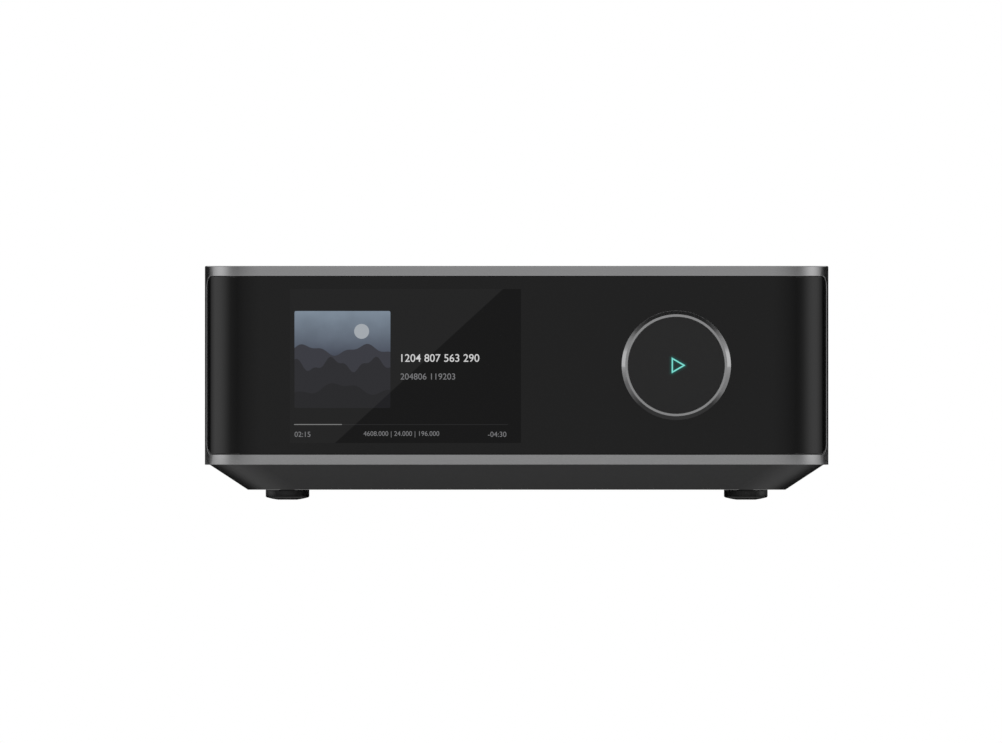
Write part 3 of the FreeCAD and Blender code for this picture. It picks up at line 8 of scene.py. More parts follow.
import bmesh
import bpy
import numpy as np
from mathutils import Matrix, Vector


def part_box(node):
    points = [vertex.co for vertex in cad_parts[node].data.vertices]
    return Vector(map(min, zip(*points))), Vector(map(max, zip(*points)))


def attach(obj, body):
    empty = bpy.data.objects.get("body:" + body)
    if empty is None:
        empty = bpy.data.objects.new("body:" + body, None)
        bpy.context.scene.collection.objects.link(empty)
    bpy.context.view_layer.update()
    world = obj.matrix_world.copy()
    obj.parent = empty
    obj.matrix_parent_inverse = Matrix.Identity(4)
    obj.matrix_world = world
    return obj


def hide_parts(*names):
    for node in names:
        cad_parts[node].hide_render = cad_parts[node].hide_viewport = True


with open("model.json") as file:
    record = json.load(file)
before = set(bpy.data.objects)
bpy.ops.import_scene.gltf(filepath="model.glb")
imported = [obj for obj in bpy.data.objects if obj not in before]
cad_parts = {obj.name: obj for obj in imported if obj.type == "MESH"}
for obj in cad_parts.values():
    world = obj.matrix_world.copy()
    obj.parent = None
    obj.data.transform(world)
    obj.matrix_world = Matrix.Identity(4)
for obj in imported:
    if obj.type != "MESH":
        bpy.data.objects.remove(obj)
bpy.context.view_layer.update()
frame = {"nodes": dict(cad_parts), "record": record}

MM = 0.001
QUARTER_TURN = math.pi / 2
WHITE = (1, 1, 1, 1)


def box_mm(node):
    """The node's lowest and highest corners, in millimetres."""
    low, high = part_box(node)
    return np.array(low) / MM, np.array(high) / MM


def box_middle(node):
    return sum(box_mm(node)) / 2


# The photograph's frame: its size, its scale, and where the object stands in it
PICTURE_WIDTH = 1002
PICTURE_HEIGHT = 743
PIXELS_PER_MM = 3.1175
MIDDLE_PIXEL = 516.65
GROUND_PIXEL = 499.7


def from_picture(across, down):
    """The place on the front, in millimetres, of a pixel of the photograph."""
    return (across - MIDDLE_PIXEL) / PIXELS_PER_MM, (GROUND_PIXEL - down) / PIXELS_PER_MM


# The case, whose outline in plan is a rectangle with round corners
CASE_LOW, CASE_HIGH = box_mm("case_shell")
SIDE = CASE_HIGH[0]
FRONT = CASE_LOW[1]
REAR = CASE_HIGH[1]
CORNER = 18.0
WALL = 2.5
BAND = 3.25
TOP_ROUND = 0.45
ROOF_STEPS = (1.5, 6.0, 15.0)
PAST_CORNER = 4.0
FLAT_RUN = SIDE - CORNER
CORNER_RUN = CORNER * QUARTER_TURN
SIDE_RUN = REAR - FRONT - 2 * CORNER
HALF_RUN = 2 * FLAT_RUN + 2 * CORNER_RUN + SIDE_RUN
WINDOW = {"low": CASE_LOW[2] + BAND, "high": CASE_HIGH[2] - BAND, "corner": 4.0, "back": FRONT + 13.6}
OPENING = {"side": 74.0, "low": CASE_LOW[2] + 4.8, "high": CASE_HIGH[2] - 6.0, "corner": 2.0}
LUG_HEIGHT = 4.2
LUG_REACH = 22.0
LUG_WIDTH = 10.0
LUG_ROWS = (FRONT + 37.0, REAR - 34.0)

# The front panel, a little inside the case's outline
PANEL_RECESS = 0.15
PANEL_GAP = 0.15
PANEL_THICKNESS = WALL - PANEL_RECESS
PANEL_FACE = FRONT + PANEL_RECESS
PANEL_LOW, PANEL_HIGH = box_mm("front_panel")

# The knob
RING_LOW, RING_HIGH = box_mm("knob_ring")
KNOB_X, _, KNOB_Z = (RING_LOW + RING_HIGH) / 2
RING_RADIUS = (RING_HIGH[0] - RING_LOW[0]) / 2
RING_CHAMFER = 1.25
RING_RIM = 0.75

# The three phono jacks, from left to right as seen from the front
JACKS = ("line_in_left_jack", "line_in_right_jack", "sub_out_jack")
INSERT_DEPTH = 2.0

# The display, as it shows through the panel, in pixels of the photograph
SCREEN = (290, 521, 289, 443)
# The painted glare, a painted reflection on the display: its edge's ends across, in pixels at the screen's
# top and bottom, its softness in millimetres, and how much light it adds
PAINTED_GLARE_EDGE = (503, 335)
PAINTED_GLARE_SOFT = 0.15
PAINTED_GLARE_LIGHT = 0.0085
ART = (294.5, 390.4, 311, 408)
FILM_STEP = 0.012
FILM_BACK = PANEL_FACE + 0.02


def srgb(*levels):
    """The linear colour of a screen colour that is given in levels from 0 to 255."""
    share = np.array(levels) / 255
    linear = np.where(share <= 0.04045, share / 12.92, ((share + 0.055) / 1.055) ** 2.4)
    return (*linear.tolist(), 1.0)


# Shader nodes

def link(tree, value, socket):
    if isinstance(value, bpy.types.NodeSocket):
        tree.links.new(value, socket)
    else:
        socket.default_value = value


def add(tree, kind, settings=None, *values, **inputs):
    """A shader node with its settings, its first inputs in order, and others by their names.

    An underscore in an input's name is a space.
    """
    item = tree.nodes.new("ShaderNode" + kind)
    for field, value in (settings or {}).items():
        setattr(item, field, value)
    for socket, value in zip(item.inputs, values):
        link(tree, value, socket)
    for label, value in inputs.items():
        link(tree, value, item.inputs[label.replace("_", " ")])
    return item


def object_place(tree):
    return add(tree, "TexCoord").outputs["Object"]


def place_along(tree, axis):
    return add(tree, "SeparateXYZ", Vector=object_place(tree)).outputs[axis]


def calculate(tree, operation, *values):
    """The result of one sum. Its values are numbers or sockets."""
    return add(tree, "Math", {"operation": operation}, *values).outputs[0]


def vector_sum(tree, operation, *values):
    result = "Value" if operation in ("LENGTH", "DOT_PRODUCT") else "Vector"
    return add(tree, "VectorMath", {"operation": operation}, *values).outputs[result]


def scaled(tree, vector, factor):
    return add(tree, "VectorMath", {"operation": "SCALE"}, Vector=vector, Scale=factor).outputs["Vector"]


def map_range(tree, value, start, end, first=0.0, last=1.0, smooth=False):
    """What goes evenly, or smoothly, from the first result to the last as a value goes from start to end."""
    settings = {"interpolation_type": "SMOOTHSTEP" if smooth else "LINEAR"}
    return add(tree, "MapRange", settings, Value=value, From_Min=start, From_Max=end,
               To_Min=first, To_Max=last).outputs["Result"]


def new_group(name, inputs, outputs):
    """An empty shader group, with the sockets of its two ends. A socket's kind is its value's."""
    tree = bpy.data.node_groups.new(name, "ShaderNodeTree")
    kinds = {1: "NodeSocketFloat", 3: "NodeSocketVector", 4: "NodeSocketColor"}
    for end, sockets in (("INPUT", inputs), ("OUTPUT", outputs)):
        for label, value in sockets.items():
            socket = tree.interface.new_socket(label, in_out=end, socket_type=kinds[np.size(value)])
            socket.default_value = value
    return tree, tree.nodes.new("NodeGroupInput").outputs, tree.nodes.new("NodeGroupOutput").inputs


def mixed(tree, share, first, second):
    item = add(tree, "Mix", {"data_type": "RGBA"})
    link(tree, share, item.inputs[0])
    link(tree, first, item.inputs[6])
    link(tree, second, item.inputs[7])
    return item.outputs[2]


def use_group(tree, name, **inputs):
    return add(tree, "Group", {"node_tree": bpy.data.node_groups[name]}, **inputs).outputs


def make_grain_group():
    """Fine even grain: how high it stands, and a roughness that follows it."""
    tree, given, result = new_group("fine_grain", {"Size mm": 0.3, "Roughness": 0.3, "Spread": 0.05},
                                    {"Height": 0.0, "Roughness": 0.0})
    scale = calculate(tree, "DIVIDE", 1 / MM, given["Size mm"])
    noise = add(tree, "TexNoise", Vector=object_place(tree), Scale=scale, Detail=2.0, Roughness=0.6)
    height = noise.outputs["Fac"]
    link(tree, height, result["Height"])
    offset = calculate(tree, "SUBTRACT", height, 0.5)
    link(tree, calculate(tree, "MULTIPLY_ADD", offset, given["Spread"], given["Roughness"]),
         result["Roughness"])


def make_mottle_group():
    """Slow uneven shade over a colour, as paint, plastic and worked metal have."""
    tree, given, result = new_group("soft_mottle", {"Color": WHITE, "Size mm": 20.0, "Spread": 0.06},
                                    {"Color": WHITE})
    scale = calculate(tree, "DIVIDE", 1 / MM, given["Size mm"])
    cloud = add(tree, "TexNoise", Vector=object_place(tree), Scale=scale, Detail=3.0, Roughness=0.55)
    offset = calculate(tree, "SUBTRACT", cloud.outputs["Fac"], 0.5)
    factor = calculate(tree, "MULTIPLY_ADD", offset, given["Spread"], 1.0)
    link(tree, scaled(tree, given["Color"], factor), result["Color"])


def make_lathe_group():
    """Fine rings about a centre line along Y, as a lathe leaves on a turned face."""
    tree, given, result = new_group("lathe_lines", {"Centre mm": (0, 0, 0), "Pitch mm": 0.12},
                                    {"Height": 0.0, "Distance mm": 0.0})
    offset = vector_sum(tree, "SUBTRACT", object_place(tree), scaled(tree, given["Centre mm"], MM))
    distance = vector_sum(tree, "LENGTH", vector_sum(tree, "MULTIPLY", offset, (1, 0, 1)))
    rings = calculate(tree, "DIVIDE", distance, calculate(tree, "MULTIPLY", given["Pitch mm"], MM))
    noise = add(tree, "TexNoise", {"noise_dimensions": "1D"}, W=rings, Scale=1.0, Detail=2.0)
    link(tree, noise.outputs["Fac"], result["Height"])
    link(tree, calculate(tree, "DIVIDE", distance, MM), result["Distance mm"])


def make_painted_glare_group():
    """The mask of the display's painted glare, a painted reflection: 1 above its slanting edge, which runs
    down to the left, and else 0.
    """
    tree, _, result = new_group("painted_glare", {}, {"Mask": 0.0})
    high = np.array(from_picture(PAINTED_GLARE_EDGE[0], SCREEN[2]))
    low = np.array(from_picture(PAINTED_GLARE_EDGE[1], SCREEN[3]))
    along = (high - low) / np.linalg.norm(high - low)
    offset = vector_sum(tree, "SUBTRACT", object_place(tree), (high[0] * MM, 0, high[1] * MM))
    distance = vector_sum(tree, "DOT_PRODUCT", offset, (along[1], 0, -along[0]))
    link(tree, map_range(tree, distance, PAINTED_GLARE_SOFT * MM, -PAINTED_GLARE_SOFT * MM), result["Mask"])


make_grain_group()
make_mottle_group()
make_lathe_group()
make_painted_glare_group()


# Materials

def mottle(tree, color, size_mm, spread):
    return use_group(tree, "soft_mottle", Color=color, Size_mm=size_mm, Spread=spread)["Color"]


# Every finish by its name, filled by new_finish
finishes = {}


def new_finish(name, roughness, metallic=0.0, paint=None, **plain):
    """A new finish: its tree and its shader's inputs, with what is even all over set there.

    The paint is a colour, how wide the shade over it is in millimetres, and how strong that is.
    """
    finishes[name] = bpy.data.materials.new(name)
    finishes[name].use_nodes = True
    tree = finishes[name].node_tree
    shader = tree.nodes["Principled BSDF"].inputs
    plain.update(Roughness=roughness, Metallic=metallic)
    for label, value in plain.items():
        shader[label.replace("_", " ")].default_value = value
    if paint:
        link(tree, mottle(tree, *paint), shader["Base Color"])
    return tree, shader


def raise_height(tree, shader, height, strength, depth_mm):
    bump = add(tree, "Bump", Strength=strength, Distance=depth_mm * MM, Height=height)
    link(tree, bump.outputs["Normal"], shader["Normal"])


def grain(tree, shader, size_mm, roughness, spread, bump=0.0, depth_mm=0.02):
    """Fine grain that moves the roughness, and with a bump stands up from the surface."""
    lines = use_group(tree, "fine_grain", Size_mm=size_mm, Roughness=roughness, Spread=spread)
    link(tree, lines["Roughness"], shader["Roughness"])
    if bump:
        raise_height(tree, shader, lines["Height"], bump, depth_mm)


def shine(tree, shader, color):
    link(tree, color, shader["Emission Color"])
    shader["Emission Strength"].default_value = 1.0


def grained(name, color, roughness, metallic, grain_mm, bump, shade, shade_mm=20.0, depth_mm=0.02,
            spread=0.06):
    """The usual finish: a colour with slow mottle, under fine grain that also moves the roughness."""
    tree, shader = new_finish(name, roughness, metallic, (color, shade_mm, shade))
    grain(tree, shader, grain_mm, roughness, spread, bump, depth_mm)


def turned_aluminium():
    """Turned and anodised metal: fine rings on the rim, and a bright cut on the chamfer."""
    rim_rough, cut_rough, edge = 0.22, 0.1, 0.03
    tree, shader = new_finish("ring_aluminium", rim_rough, 1.0, ((0.262, 0.262, 0.265, 1), 12.0, 0.04))
    lines = use_group(tree, "lathe_lines", Centre_mm=(KNOB_X, 0, KNOB_Z), Pitch_mm=0.10)
    beyond = calculate(tree, "GREATER_THAN", lines["Distance mm"], RING_RADIUS - RING_CHAMFER + edge)
    before = calculate(tree, "LESS_THAN", place_along(tree, "Y"),
                       (RING_LOW[1] + RING_CHAMFER - edge) * MM)
    bright = calculate(tree, "MULTIPLY", beyond, before)
    link(tree, map_range(tree, bright, 0, 1, rim_rough, cut_rough), shader["Roughness"])
    depth = calculate(tree, "MULTIPLY", calculate(tree, "SUBTRACT", 1.0, bright), lines["Height"])
    raise_height(tree, shader, depth, 0.12, 0.01)


def gloss_panel():
    """Near-black glass-like moulding: a mirror gloss over black, with a trace of haze."""
    tree, shader = new_finish("panel_gloss", 0.06, Specular_IOR_Level=0.215,
                              paint=((0.0012, 0.0012, 0.0013, 1), 60.0, 0.1))
    grain(tree, shader, 35.0, 0.06, 0.03)


ICON_RADIUS = 2.95
ICON_LINE = 0.42
# The painted halo on the cap round the icon: its width, its colour, and its share inside the triangle
PAINTED_HALO_WIDTH = 0.62
PAINTED_HALO_COLOR = srgb(0, 76, 70)
PAINTED_HALO_MIDDLE = 0.2


def cap_black():
    """Matte black, with a painted glow round the icon's three lines: the cap shines as if the icon's light
    fell on it.

    Each side's distance is measured square to it. Outside the triangle, the distance from its
    middle line is the sum of those that are above nought. Inside, it is the largest of the three.
    """
    tree, shader = new_finish("cap_black", 0.42, Specular_IOR_Level=0.28,
                              paint=((0.006, 0.006, 0.0063, 1), 8.0, 0.15))
    grain(tree, shader, 0.25, 0.42, 0.08, 0.05)
    offset = vector_sum(tree, "SUBTRACT", object_place(tree), (KNOB_X * MM, 0, KNOB_Z * MM))
    inner = (ICON_RADIUS - ICON_LINE) / 2 * MM
    outside = []
    for turn in np.radians((60, 180, 300)):
        square = (math.cos(turn), 0, math.sin(turn))
        outside.append(calculate(tree, "SUBTRACT", vector_sum(tree, "DOT_PRODUCT", offset, square), inner))
    largest = calculate(tree, "MAXIMUM", calculate(tree, "MAXIMUM", *outside[:2]), outside[2])
    away = calculate(tree, "MAXIMUM", calculate(tree, "MULTIPLY", largest, -1.0), 0.0)
    for distance in outside:
        away = calculate(tree, "ADD", away, calculate(tree, "MAXIMUM", distance, 0.0))
    squared = calculate(tree, "POWER", calculate(tree, "DIVIDE", away, PAINTED_HALO_WIDTH * MM), 2.0)
    near = calculate(tree, "EXPONENT", calculate(tree, "MULTIPLY", squared, -1.0))
    within = calculate(tree, "MULTIPLY", calculate(tree, "LESS_THAN", largest, 0.0), PAINTED_HALO_MIDDLE)
    # Painted glow: the cap itself shines in the halo's colour near the icon's lines and faintly inside the
    # triangle
    shine(tree, shader, mixed(tree, calculate(tree, "MAXIMUM", near, within), (0, 0, 0, 1), PAINTED_HALO_COLOR))


LIT_BASE = (0.001, 0.001, 0.001, 1)


def lit(name, color, roughness=0.06, level=0.13, painted_glare=PAINTED_GLARE_LIGHT):
    """A lit part of the display: it shines in its own colour, with the painted glare, a painted reflection,
    added to that light over it.
    """
    tree, shader = new_finish(name, roughness, Specular_IOR_Level=level, Base_Color=LIT_BASE)
    # Painted reflection: the glare's mask times its brightness is added to the display's own light
    painted_glare_added = calculate(tree, "MULTIPLY", use_group(tree, "painted_glare")["Mask"], painted_glare)
    shine(tree, shader, vector_sum(tree, "ADD", mottle(tree, color, 3.0, 0.04), painted_glare_added))
    return name


def lit_sky(name, low, high):
    """The picture's sky: paler upwards from half its height, with soft cloud."""
    tree, shader = new_finish(name, 0.06, Specular_IOR_Level=0.13, Base_Color=LIT_BASE)
    share = map_range(tree, place_along(tree, "Z"), (low + high) / 2 * MM, high * MM)
    color = mixed(tree, share, srgb(58, 62, 76), srgb(122, 135, 149))
    shine(tree, shader, vector_sum(tree, "MULTIPLY", color, mottle(tree, WHITE, 7.0, 0.35)))


def jack_plastic():
    """Black housings, with a white, a red and a black insert in the three phono jacks."""
    tree, shader = new_finish("jack_insulators", 0.4)
    black = (0.012, 0.012, 0.013, 1)
    across = place_along(tree, "X")
    left, right, low_bass = (box_middle(jack)[0] * MM for jack in JACKS)
    first = calculate(tree, "LESS_THAN", across, (left + right) / 2)
    second = calculate(tree, "LESS_THAN", across, (right + low_bass) / 2)
    outside = calculate(tree, "GREATER_THAN", place_along(tree, "Y"), (REAR - WALL - INSERT_DEPTH) * MM)
    color = mixed(tree, second, black, srgb(176, 24, 28))
    color = mixed(tree, first, color, srgb(226, 224, 216))
    color = mixed(tree, outside, black, color)
    link(tree, mottle(tree, color, 4.0, 0.08), shader["Base Color"])
    grain(tree, shader, 0.2, 0.4, 0.1, 0.08)


def board_green():
    """Solder mask over copper: slightly paler tracks on a square pattern, and tinned spots."""
    tree, shader = new_finish("board_green", 0.3, Coat_Weight=0.3)
    place = object_place(tree)
    tracks = add(tree, "TexBrick", {"offset": 0.37, "squash": 0.6, "squash_frequency": 3},
                 Vector=place, Color1=(0.006, 0.055, 0.026, 1), Color2=(0.005, 0.047, 0.022, 1),
                 Mortar=(0.012, 0.095, 0.045, 1), Scale=55.0, Mortar_Size=0.012)
    spots = add(tree, "TexVoronoi", Vector=place, Scale=260.0, Randomness=0.8)
    dot = calculate(tree, "LESS_THAN", spots.outputs["Distance"], 0.13)
    color = mixed(tree, dot, tracks.outputs["Color"], (0.55, 0.53, 0.46, 1))
    link(tree, color, shader["Base Color"])
    link(tree, dot, shader["Metallic"])


# Radians that the texture's own stripes go through in a unit of length
WAVE_RATE = 20


def bands(tree, direction, radian_mm, **inputs):
    """Stripes along X, Y or Z, of which one radian takes up the given length."""
    return add(tree, "TexWave", {"bands_direction": direction}, Vector=object_place(tree),
               Scale=1 / (radian_mm * MM) / WAVE_RATE, **inputs).outputs["Fac"]


def striped(name, color, stripe, radian_mm):
    """A shrink sleeve with a pale stripe down one side."""
    tree, shader = new_finish(name, 0.35)
    band = calculate(tree, "GREATER_THAN", bands(tree, "X", radian_mm, Distortion=0.0), 0.93)
    link(tree, mottle(tree, mixed(tree, band, color, stripe), 6.0, 0.08), shader["Base Color"])


def wound(name, color, radian_mm):
    """Wire wound in close turns, seen as fine ribs one above another."""
    tree, shader = new_finish(name, 0.35, 0.6, (color, 5.0, 0.2))
    raise_height(tree, shader, bands(tree, "Z", radian_mm, Distortion=0.4, Detail=1.0), 0.6, 0.2)


# Grained finishes: colour, roughness, metal, grain's size, bump, strength of shade, its size, and
# the grain's depth and spread
FINISHES = {
    "case_aluminium": ((0.255, 0.255, 0.258, 1), 0.19, 1.0, 0.16, 0.1, 0.03, 45.0, 0.01, 0.08),
    "base_paint": (srgb(30, 30, 31), 0.3, 0.0, 0.35, 0.1, 0.06, 20.0, 0.03),
    "foot_rubber": (srgb(26, 26, 27), 0.32, 0.0, 0.4, 0.1, 0.12),
    "inner_black": (srgb(30, 30, 32), 0.45, 0.0, 0.25, 0.2, 0.1, 8.0),
    "rear_paint": (srgb(48, 48, 50), 0.5, 0.0, 0.4, 0.3, 0.06, 20.0, 0.03),
    "screw_steel": ((0.09, 0.09, 0.095, 1), 0.35, 1.0, 0.3, 0.1, 0.2, 2.0),
    "socket_steel": ((0.52, 0.51, 0.49, 1), 0.28, 1.0, 0.5, 0.06, 0.1, 6.0),
    "contact_gold": ((0.78, 0.53, 0.22, 1), 0.2, 1.0, 0.4, 0.05, 0.08, 5.0),
    "grip_red": (srgb(150, 22, 24), 0.3, 0.0, 0.5, 0.05, 0.08, 8.0),
    "grip_black": (srgb(34, 34, 36), 0.3, 0.0, 0.5, 0.05, 0.1, 8.0),
    "chip_black": (srgb(38, 38, 40), 0.5, 0.0, 0.15, 0.2, 0.12, 5.0),
    "sink_aluminium": ((0.62, 0.62, 0.63, 1), 0.38, 1.0, 0.3, 0.1, 0.08),
    "display_glass": ((0.004, 0.004, 0.005, 1), 0.08, 0.0, 20.0, 0.0, 0.1),
    "ribbon_film": (srgb(196, 120, 52), 0.35, 0.0, 0.6, 0.05, 0.1, 6.0),
    "magnet_ferrite": (srgb(52, 50, 50), 0.7, 0.0, 0.3, 0.3, 0.2, 3.0),
    "mark_white": (srgb(196, 196, 192), 0.55, 0.0, 0.2, 0.05, 0.08, 3.0),
}
for finish_name, finish_values in FINISHES.items():
    grained(finish_name, *finish_values)
gloss_panel()
turned_aluminium()
cap_black()
lit("icon_light", srgb(120, 220, 208), 0.3, 0.28, 0.0)
board_green()
wound("coil_core", (0.42, 0.16, 0.06, 1), 0.9)
wound("transformer_core", (0.34, 0.24, 0.05, 1), 1.4)
striped("capacitor_sleeve", srgb(22, 26, 44), srgb(190, 190, 180), 18.0)
new_finish("fuse_glass", 0.05, paint=((0.85, 0.9, 0.9, 1), 4.0, 0.05), IOR=1.45, Transmission_Weight=0.9)
jack_plastic()


def dress_nodes():
    """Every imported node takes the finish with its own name, or else that of its slot."""
    for row in frame["record"]["subparts"]:
        finish = finishes.get(row["node"]) or finishes[row["material_slot"]]
        for holder in frame["nodes"][row["node"]].material_slots:
            holder.material = finish


# Meshes

def link_object(name, data):
    item = bpy.data.objects.new(name, data)
    bpy.context.scene.collection.objects.link(item)
    return item


def grid_faces(rows, columns, close_rows=False, close_columns=False):
    """Four-cornered faces between the neighbours of a grid of points, row after row."""
    row = np.arange(rows if close_rows else rows - 1)
    column = np.arange(columns if close_columns else columns - 1)
    row, column = np.meshgrid(row, column, indexing="ij")
    next_row = (row + 1) % rows
    next_column = (column + 1) % columns
    faces = np.stack([row * columns + column, row * columns + next_column,
                      next_row * columns + next_column, next_row * columns + column], axis=-1)
    return faces.reshape(-1, 4)


def gather(patches):
    """Several (points, faces) patches as one, each patch's faces counting on from the last."""
    points, faces, count = [], [], 0
    for patch_points, patch_faces in patches:
        points.append(np.asarray(patch_points, float).reshape(-1, 3))
        faces += [[int(index) + count for index in face] for face in patch_faces]
        count += len(points[-1])
    return np.concatenate(points), faces


# Points of a piece closer together than this are one
WELD = 0.002


def piece(name, patch, slot, finish=None, body="root", replaces=None, recalculate=True, smooth=True):
    """A new piece of the object, welded where its patches meet, its faces outwards."""
    points, faces = gather([patch])
    mesh = bpy.data.meshes.new(name)
    mesh.from_pydata((points * MM).tolist(), [], faces)
    shape = bmesh.new()
    shape.from_mesh(mesh)
    bmesh.ops.remove_doubles(shape, verts=shape.verts, dist=WELD * MM)
    if recalculate:
        bmesh.ops.recalc_face_normals(shape, faces=shape.faces)
    for face in shape.faces:
        face.smooth = smooth
    shape.to_mesh(mesh)
    shape.free()
    mesh.materials.append(finishes[finish or slot])
    item = link_object(name, mesh)
    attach(item, body)
    if replaces:
        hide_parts(replaces)
    return item


def thicken(item, thickness):
    """Give an open surface its wall, inwards."""
    wall = item.modifiers.new("wall", "SOLIDIFY")
    wall.thickness = thickness * MM
    wall.offset = -1
    wall.use_even_offset = True


def soften(item, width, segments=2, degrees=35):
    """Round the sharp edges a little, and keep the flat faces flat to the eye."""
    bevel = item.modifiers.new("soft_edges", "BEVEL")
    bevel.width = width * MM
    bevel.segments = segments
    bevel.limit_method = "ANGLE"
    bevel.angle_limit = math.radians(degrees)
    bevel.use_clamp_overlap = True
    even_normals(item)


def even_normals(item):
    normals = item.modifiers.new("even_normals", "WEIGHTED_NORMAL")
    normals.keep_sharp = True
    normals.weight = 60


CREASE = math.radians(40)


def crisp(item):
    """Keep the creases of a turned or stepped piece sharp, and shade the rest evenly."""
    shape = bmesh.new()
    shape.from_mesh(item.data)
    for edge in shape.edges:
        edge.smooth = edge.calc_face_angle(0) < CREASE
    shape.to_mesh(item.data)
    shape.free()
    even_normals(item)


def outline(along, inset=0.0):
    """The case's outline in plan, at a distance along it from the middle of the front.

    It runs straight, round a quarter circle, along the side, round another and along the rear.
    The inset makes both quarter circles smaller about the same centres.
    """
    run = np.abs(along)
    front_turn = np.clip((run - FLAT_RUN) / CORNER, 0, QUARTER_TURN)
    side = np.clip(run - FLAT_RUN - CORNER_RUN, 0, SIDE_RUN)
    rear_turn = np.clip((run - FLAT_RUN - CORNER_RUN - SIDE_RUN) / CORNER, 0, QUARTER_TURN)
    rear = np.clip(run - HALF_RUN + FLAT_RUN, 0, FLAT_RUN)
    radius = CORNER - inset
    x = np.minimum(run, FLAT_RUN) + radius * (np.sin(front_turn) + np.cos(rear_turn) - 1) - rear
    y = FRONT + CORNER - radius * np.cos(front_turn) + side + radius * np.sin(rear_turn)
    return np.sign(along) * x, y


def wall_patch(along, level, inset=0.0):
    """A patch of the case's wall: a grid of distances along the outline, at a grid of levels."""
    along, level, inset = np.broadcast_arrays(along, level, inset)
    return np.stack([*outline(along, inset), level], axis=-1), grid_faces(*along.shape)


def corner_draw(level, opening):
    """How far its round corners draw in an opening's upright edge at each level."""
    corner = opening["corner"]
    edge = np.minimum(level - opening["low"], opening["high"] - level)
    short = np.clip(corner - edge, 0, corner)
    return corner - np.sqrt(corner ** 2 - short ** 2)


def window_end(level, window, inset=0.0):
    """How far along the outline the window reaches at each level.

    Its end stands upright, and turns forward in a quarter circle at the top and the bottom.
    """
    y = window["back"] - corner_draw(level, window)
    return FLAT_RUN + CORNER * np.arccos((FRONT + CORNER - y) / (CORNER - inset))


def corner_levels(opening, steps):
    """Levels that divide the round ends of an opening evenly along their arcs."""
    drop = opening["corner"] * (1 - np.sin(np.linspace(0, QUARTER_TURN, steps + 1)))
    return np.concatenate([opening["low"] + drop, opening["high"] - drop])


def row_levels(window, *others):
    """The levels of a patch's rows, from the window's low end to its high end."""
    levels = np.unique(np.round(np.concatenate([corner_levels(window, 8), *others]), 5))
    levels[0], levels[-1] = window["low"], window["high"]
    return levels


def box_patch(low, high):
    """The six faces of a plain block."""
    points = np.array(np.meshgrid(*zip(low, high), indexing="ij")).reshape(3, -1).T
    return points, [[0, 1, 3, 2], [4, 6, 7, 5], [0, 4, 5, 1], [2, 3, 7, 6], [0, 2, 6, 4], [1, 5, 7, 3]]


def full_turn(steps):
    """Even angles once round."""
    return np.linspace(0, 2 * math.pi, steps + 1)[:-1]


def circle_points(turn):
    """Points of a circle of radius 1, at these angles."""
    return np.stack([np.cos(turn), np.sin(turn)], axis=-1)


def capped(rings):
    """A solid through rings of points, with a face over the first and one over the last."""
    count = len(rings[0])
    last = (len(rings) - 1) * count
    walls = grid_faces(len(rings), count, close_columns=True)
    return rings, [*walls, range(count), range(last + count - 1, last - 1, -1)]


def make_case():
    """The metal sleeve: its wall as patches round the window and the rear opening, and its roof."""
    levels = row_levels(WINDOW, corner_levels(OPENING, 4),
                        np.linspace(WINDOW["low"] + WINDOW["corner"], WINDOW["high"] - WINDOW["corner"], 6))
    past_corner = FLAT_RUN + CORNER_RUN + PAST_CORNER
    rear_corner = FLAT_RUN + CORNER_RUN + SIDE_RUN
    start = window_end(levels, WINDOW)[:, None]
    end = (HALF_RUN - OPENING["side"] + corner_draw(levels, OPENING))[:, None]
    fixed = np.concatenate([np.linspace(past_corner, rear_corner, 4)[1:],
                            np.linspace(rear_corner, rear_corner + CORNER_RUN, 21)[1:]])
    fixed = np.broadcast_to(fixed, (len(levels), len(fixed)))
    along = np.concatenate([start + (past_corner - start) * np.linspace(0, 1, 11), fixed,
                            fixed[:, -1:] + (end - fixed[:, -1:]) * np.linspace(0, 1, 4)[1:]], axis=1)
    patches = [wall_patch(along, levels[:, None]), wall_patch(-along[:, ::-1], levels[:, None])]

    across = np.linspace(HALF_RUN - end[0, 0], end[0, 0] - HALF_RUN, 13)
    for rows in (levels[levels < OPENING["low"] + 0.001], levels[levels > OPENING["high"] - 0.001]):
        x, z = np.meshgrid(across, rows)
        patches.append((np.stack([x, np.full(x.shape, REAR), z], axis=-1), grid_faces(*x.shape)))

    half = np.concatenate([[0.0], np.linspace(FLAT_RUN, along[0, 0], 17), along[0, 1:],
                           np.linspace(end[0, 0], HALF_RUN, 7)[1:]])
    ring = np.concatenate([-half[::-1], half[1:]])
    patches.append(wall_patch(ring, np.array([[CASE_LOW[2]], [WINDOW["low"]]])))
    turn = np.linspace(0, QUARTER_TURN, 5)
    rise = np.concatenate([[WINDOW["high"]], CASE_HIGH[2] - TOP_ROUND * (1 - np.sin(turn)),
                           [CASE_HIGH[2]] * 3])
    draw = np.concatenate([[0.0], TOP_ROUND * (1 - np.cos(turn)), ROOF_STEPS])
    patches.append(wall_patch(ring, rise[:, None], draw[:, None]))
    lid = np.stack([*outline(ring[:-1], ROOF_STEPS[-1]), np.full(len(ring) - 1, CASE_HIGH[2])], axis=-1)
    patches.append((lid, [range(len(lid))]))
    case = piece("case_sleeve", gather(patches), "case_aluminium", replaces="case_shell")
    thicken(case, WALL)
    soften(case, 0.15)

    lugs = []
    for sign in (-1, 1):
        for row in LUG_ROWS:
            across = sorted((sign * (SIDE - WALL - LUG_REACH), sign * (SIDE - WALL)))
            lugs.append(box_patch((across[0], row - LUG_WIDTH / 2, CASE_LOW[2]),
                                  (across[1], row + LUG_WIDTH / 2, CASE_LOW[2] + LUG_HEIGHT)))
    soften(piece("case_lugs", gather(lugs), "case_aluminium"), 0.3)


KNOB_PATCH = 20.0
KNOB_PATCH_STEPS = 16
PANEL_COLUMNS = (-41.0, 0.0)
PANEL_HOLE = 14.55


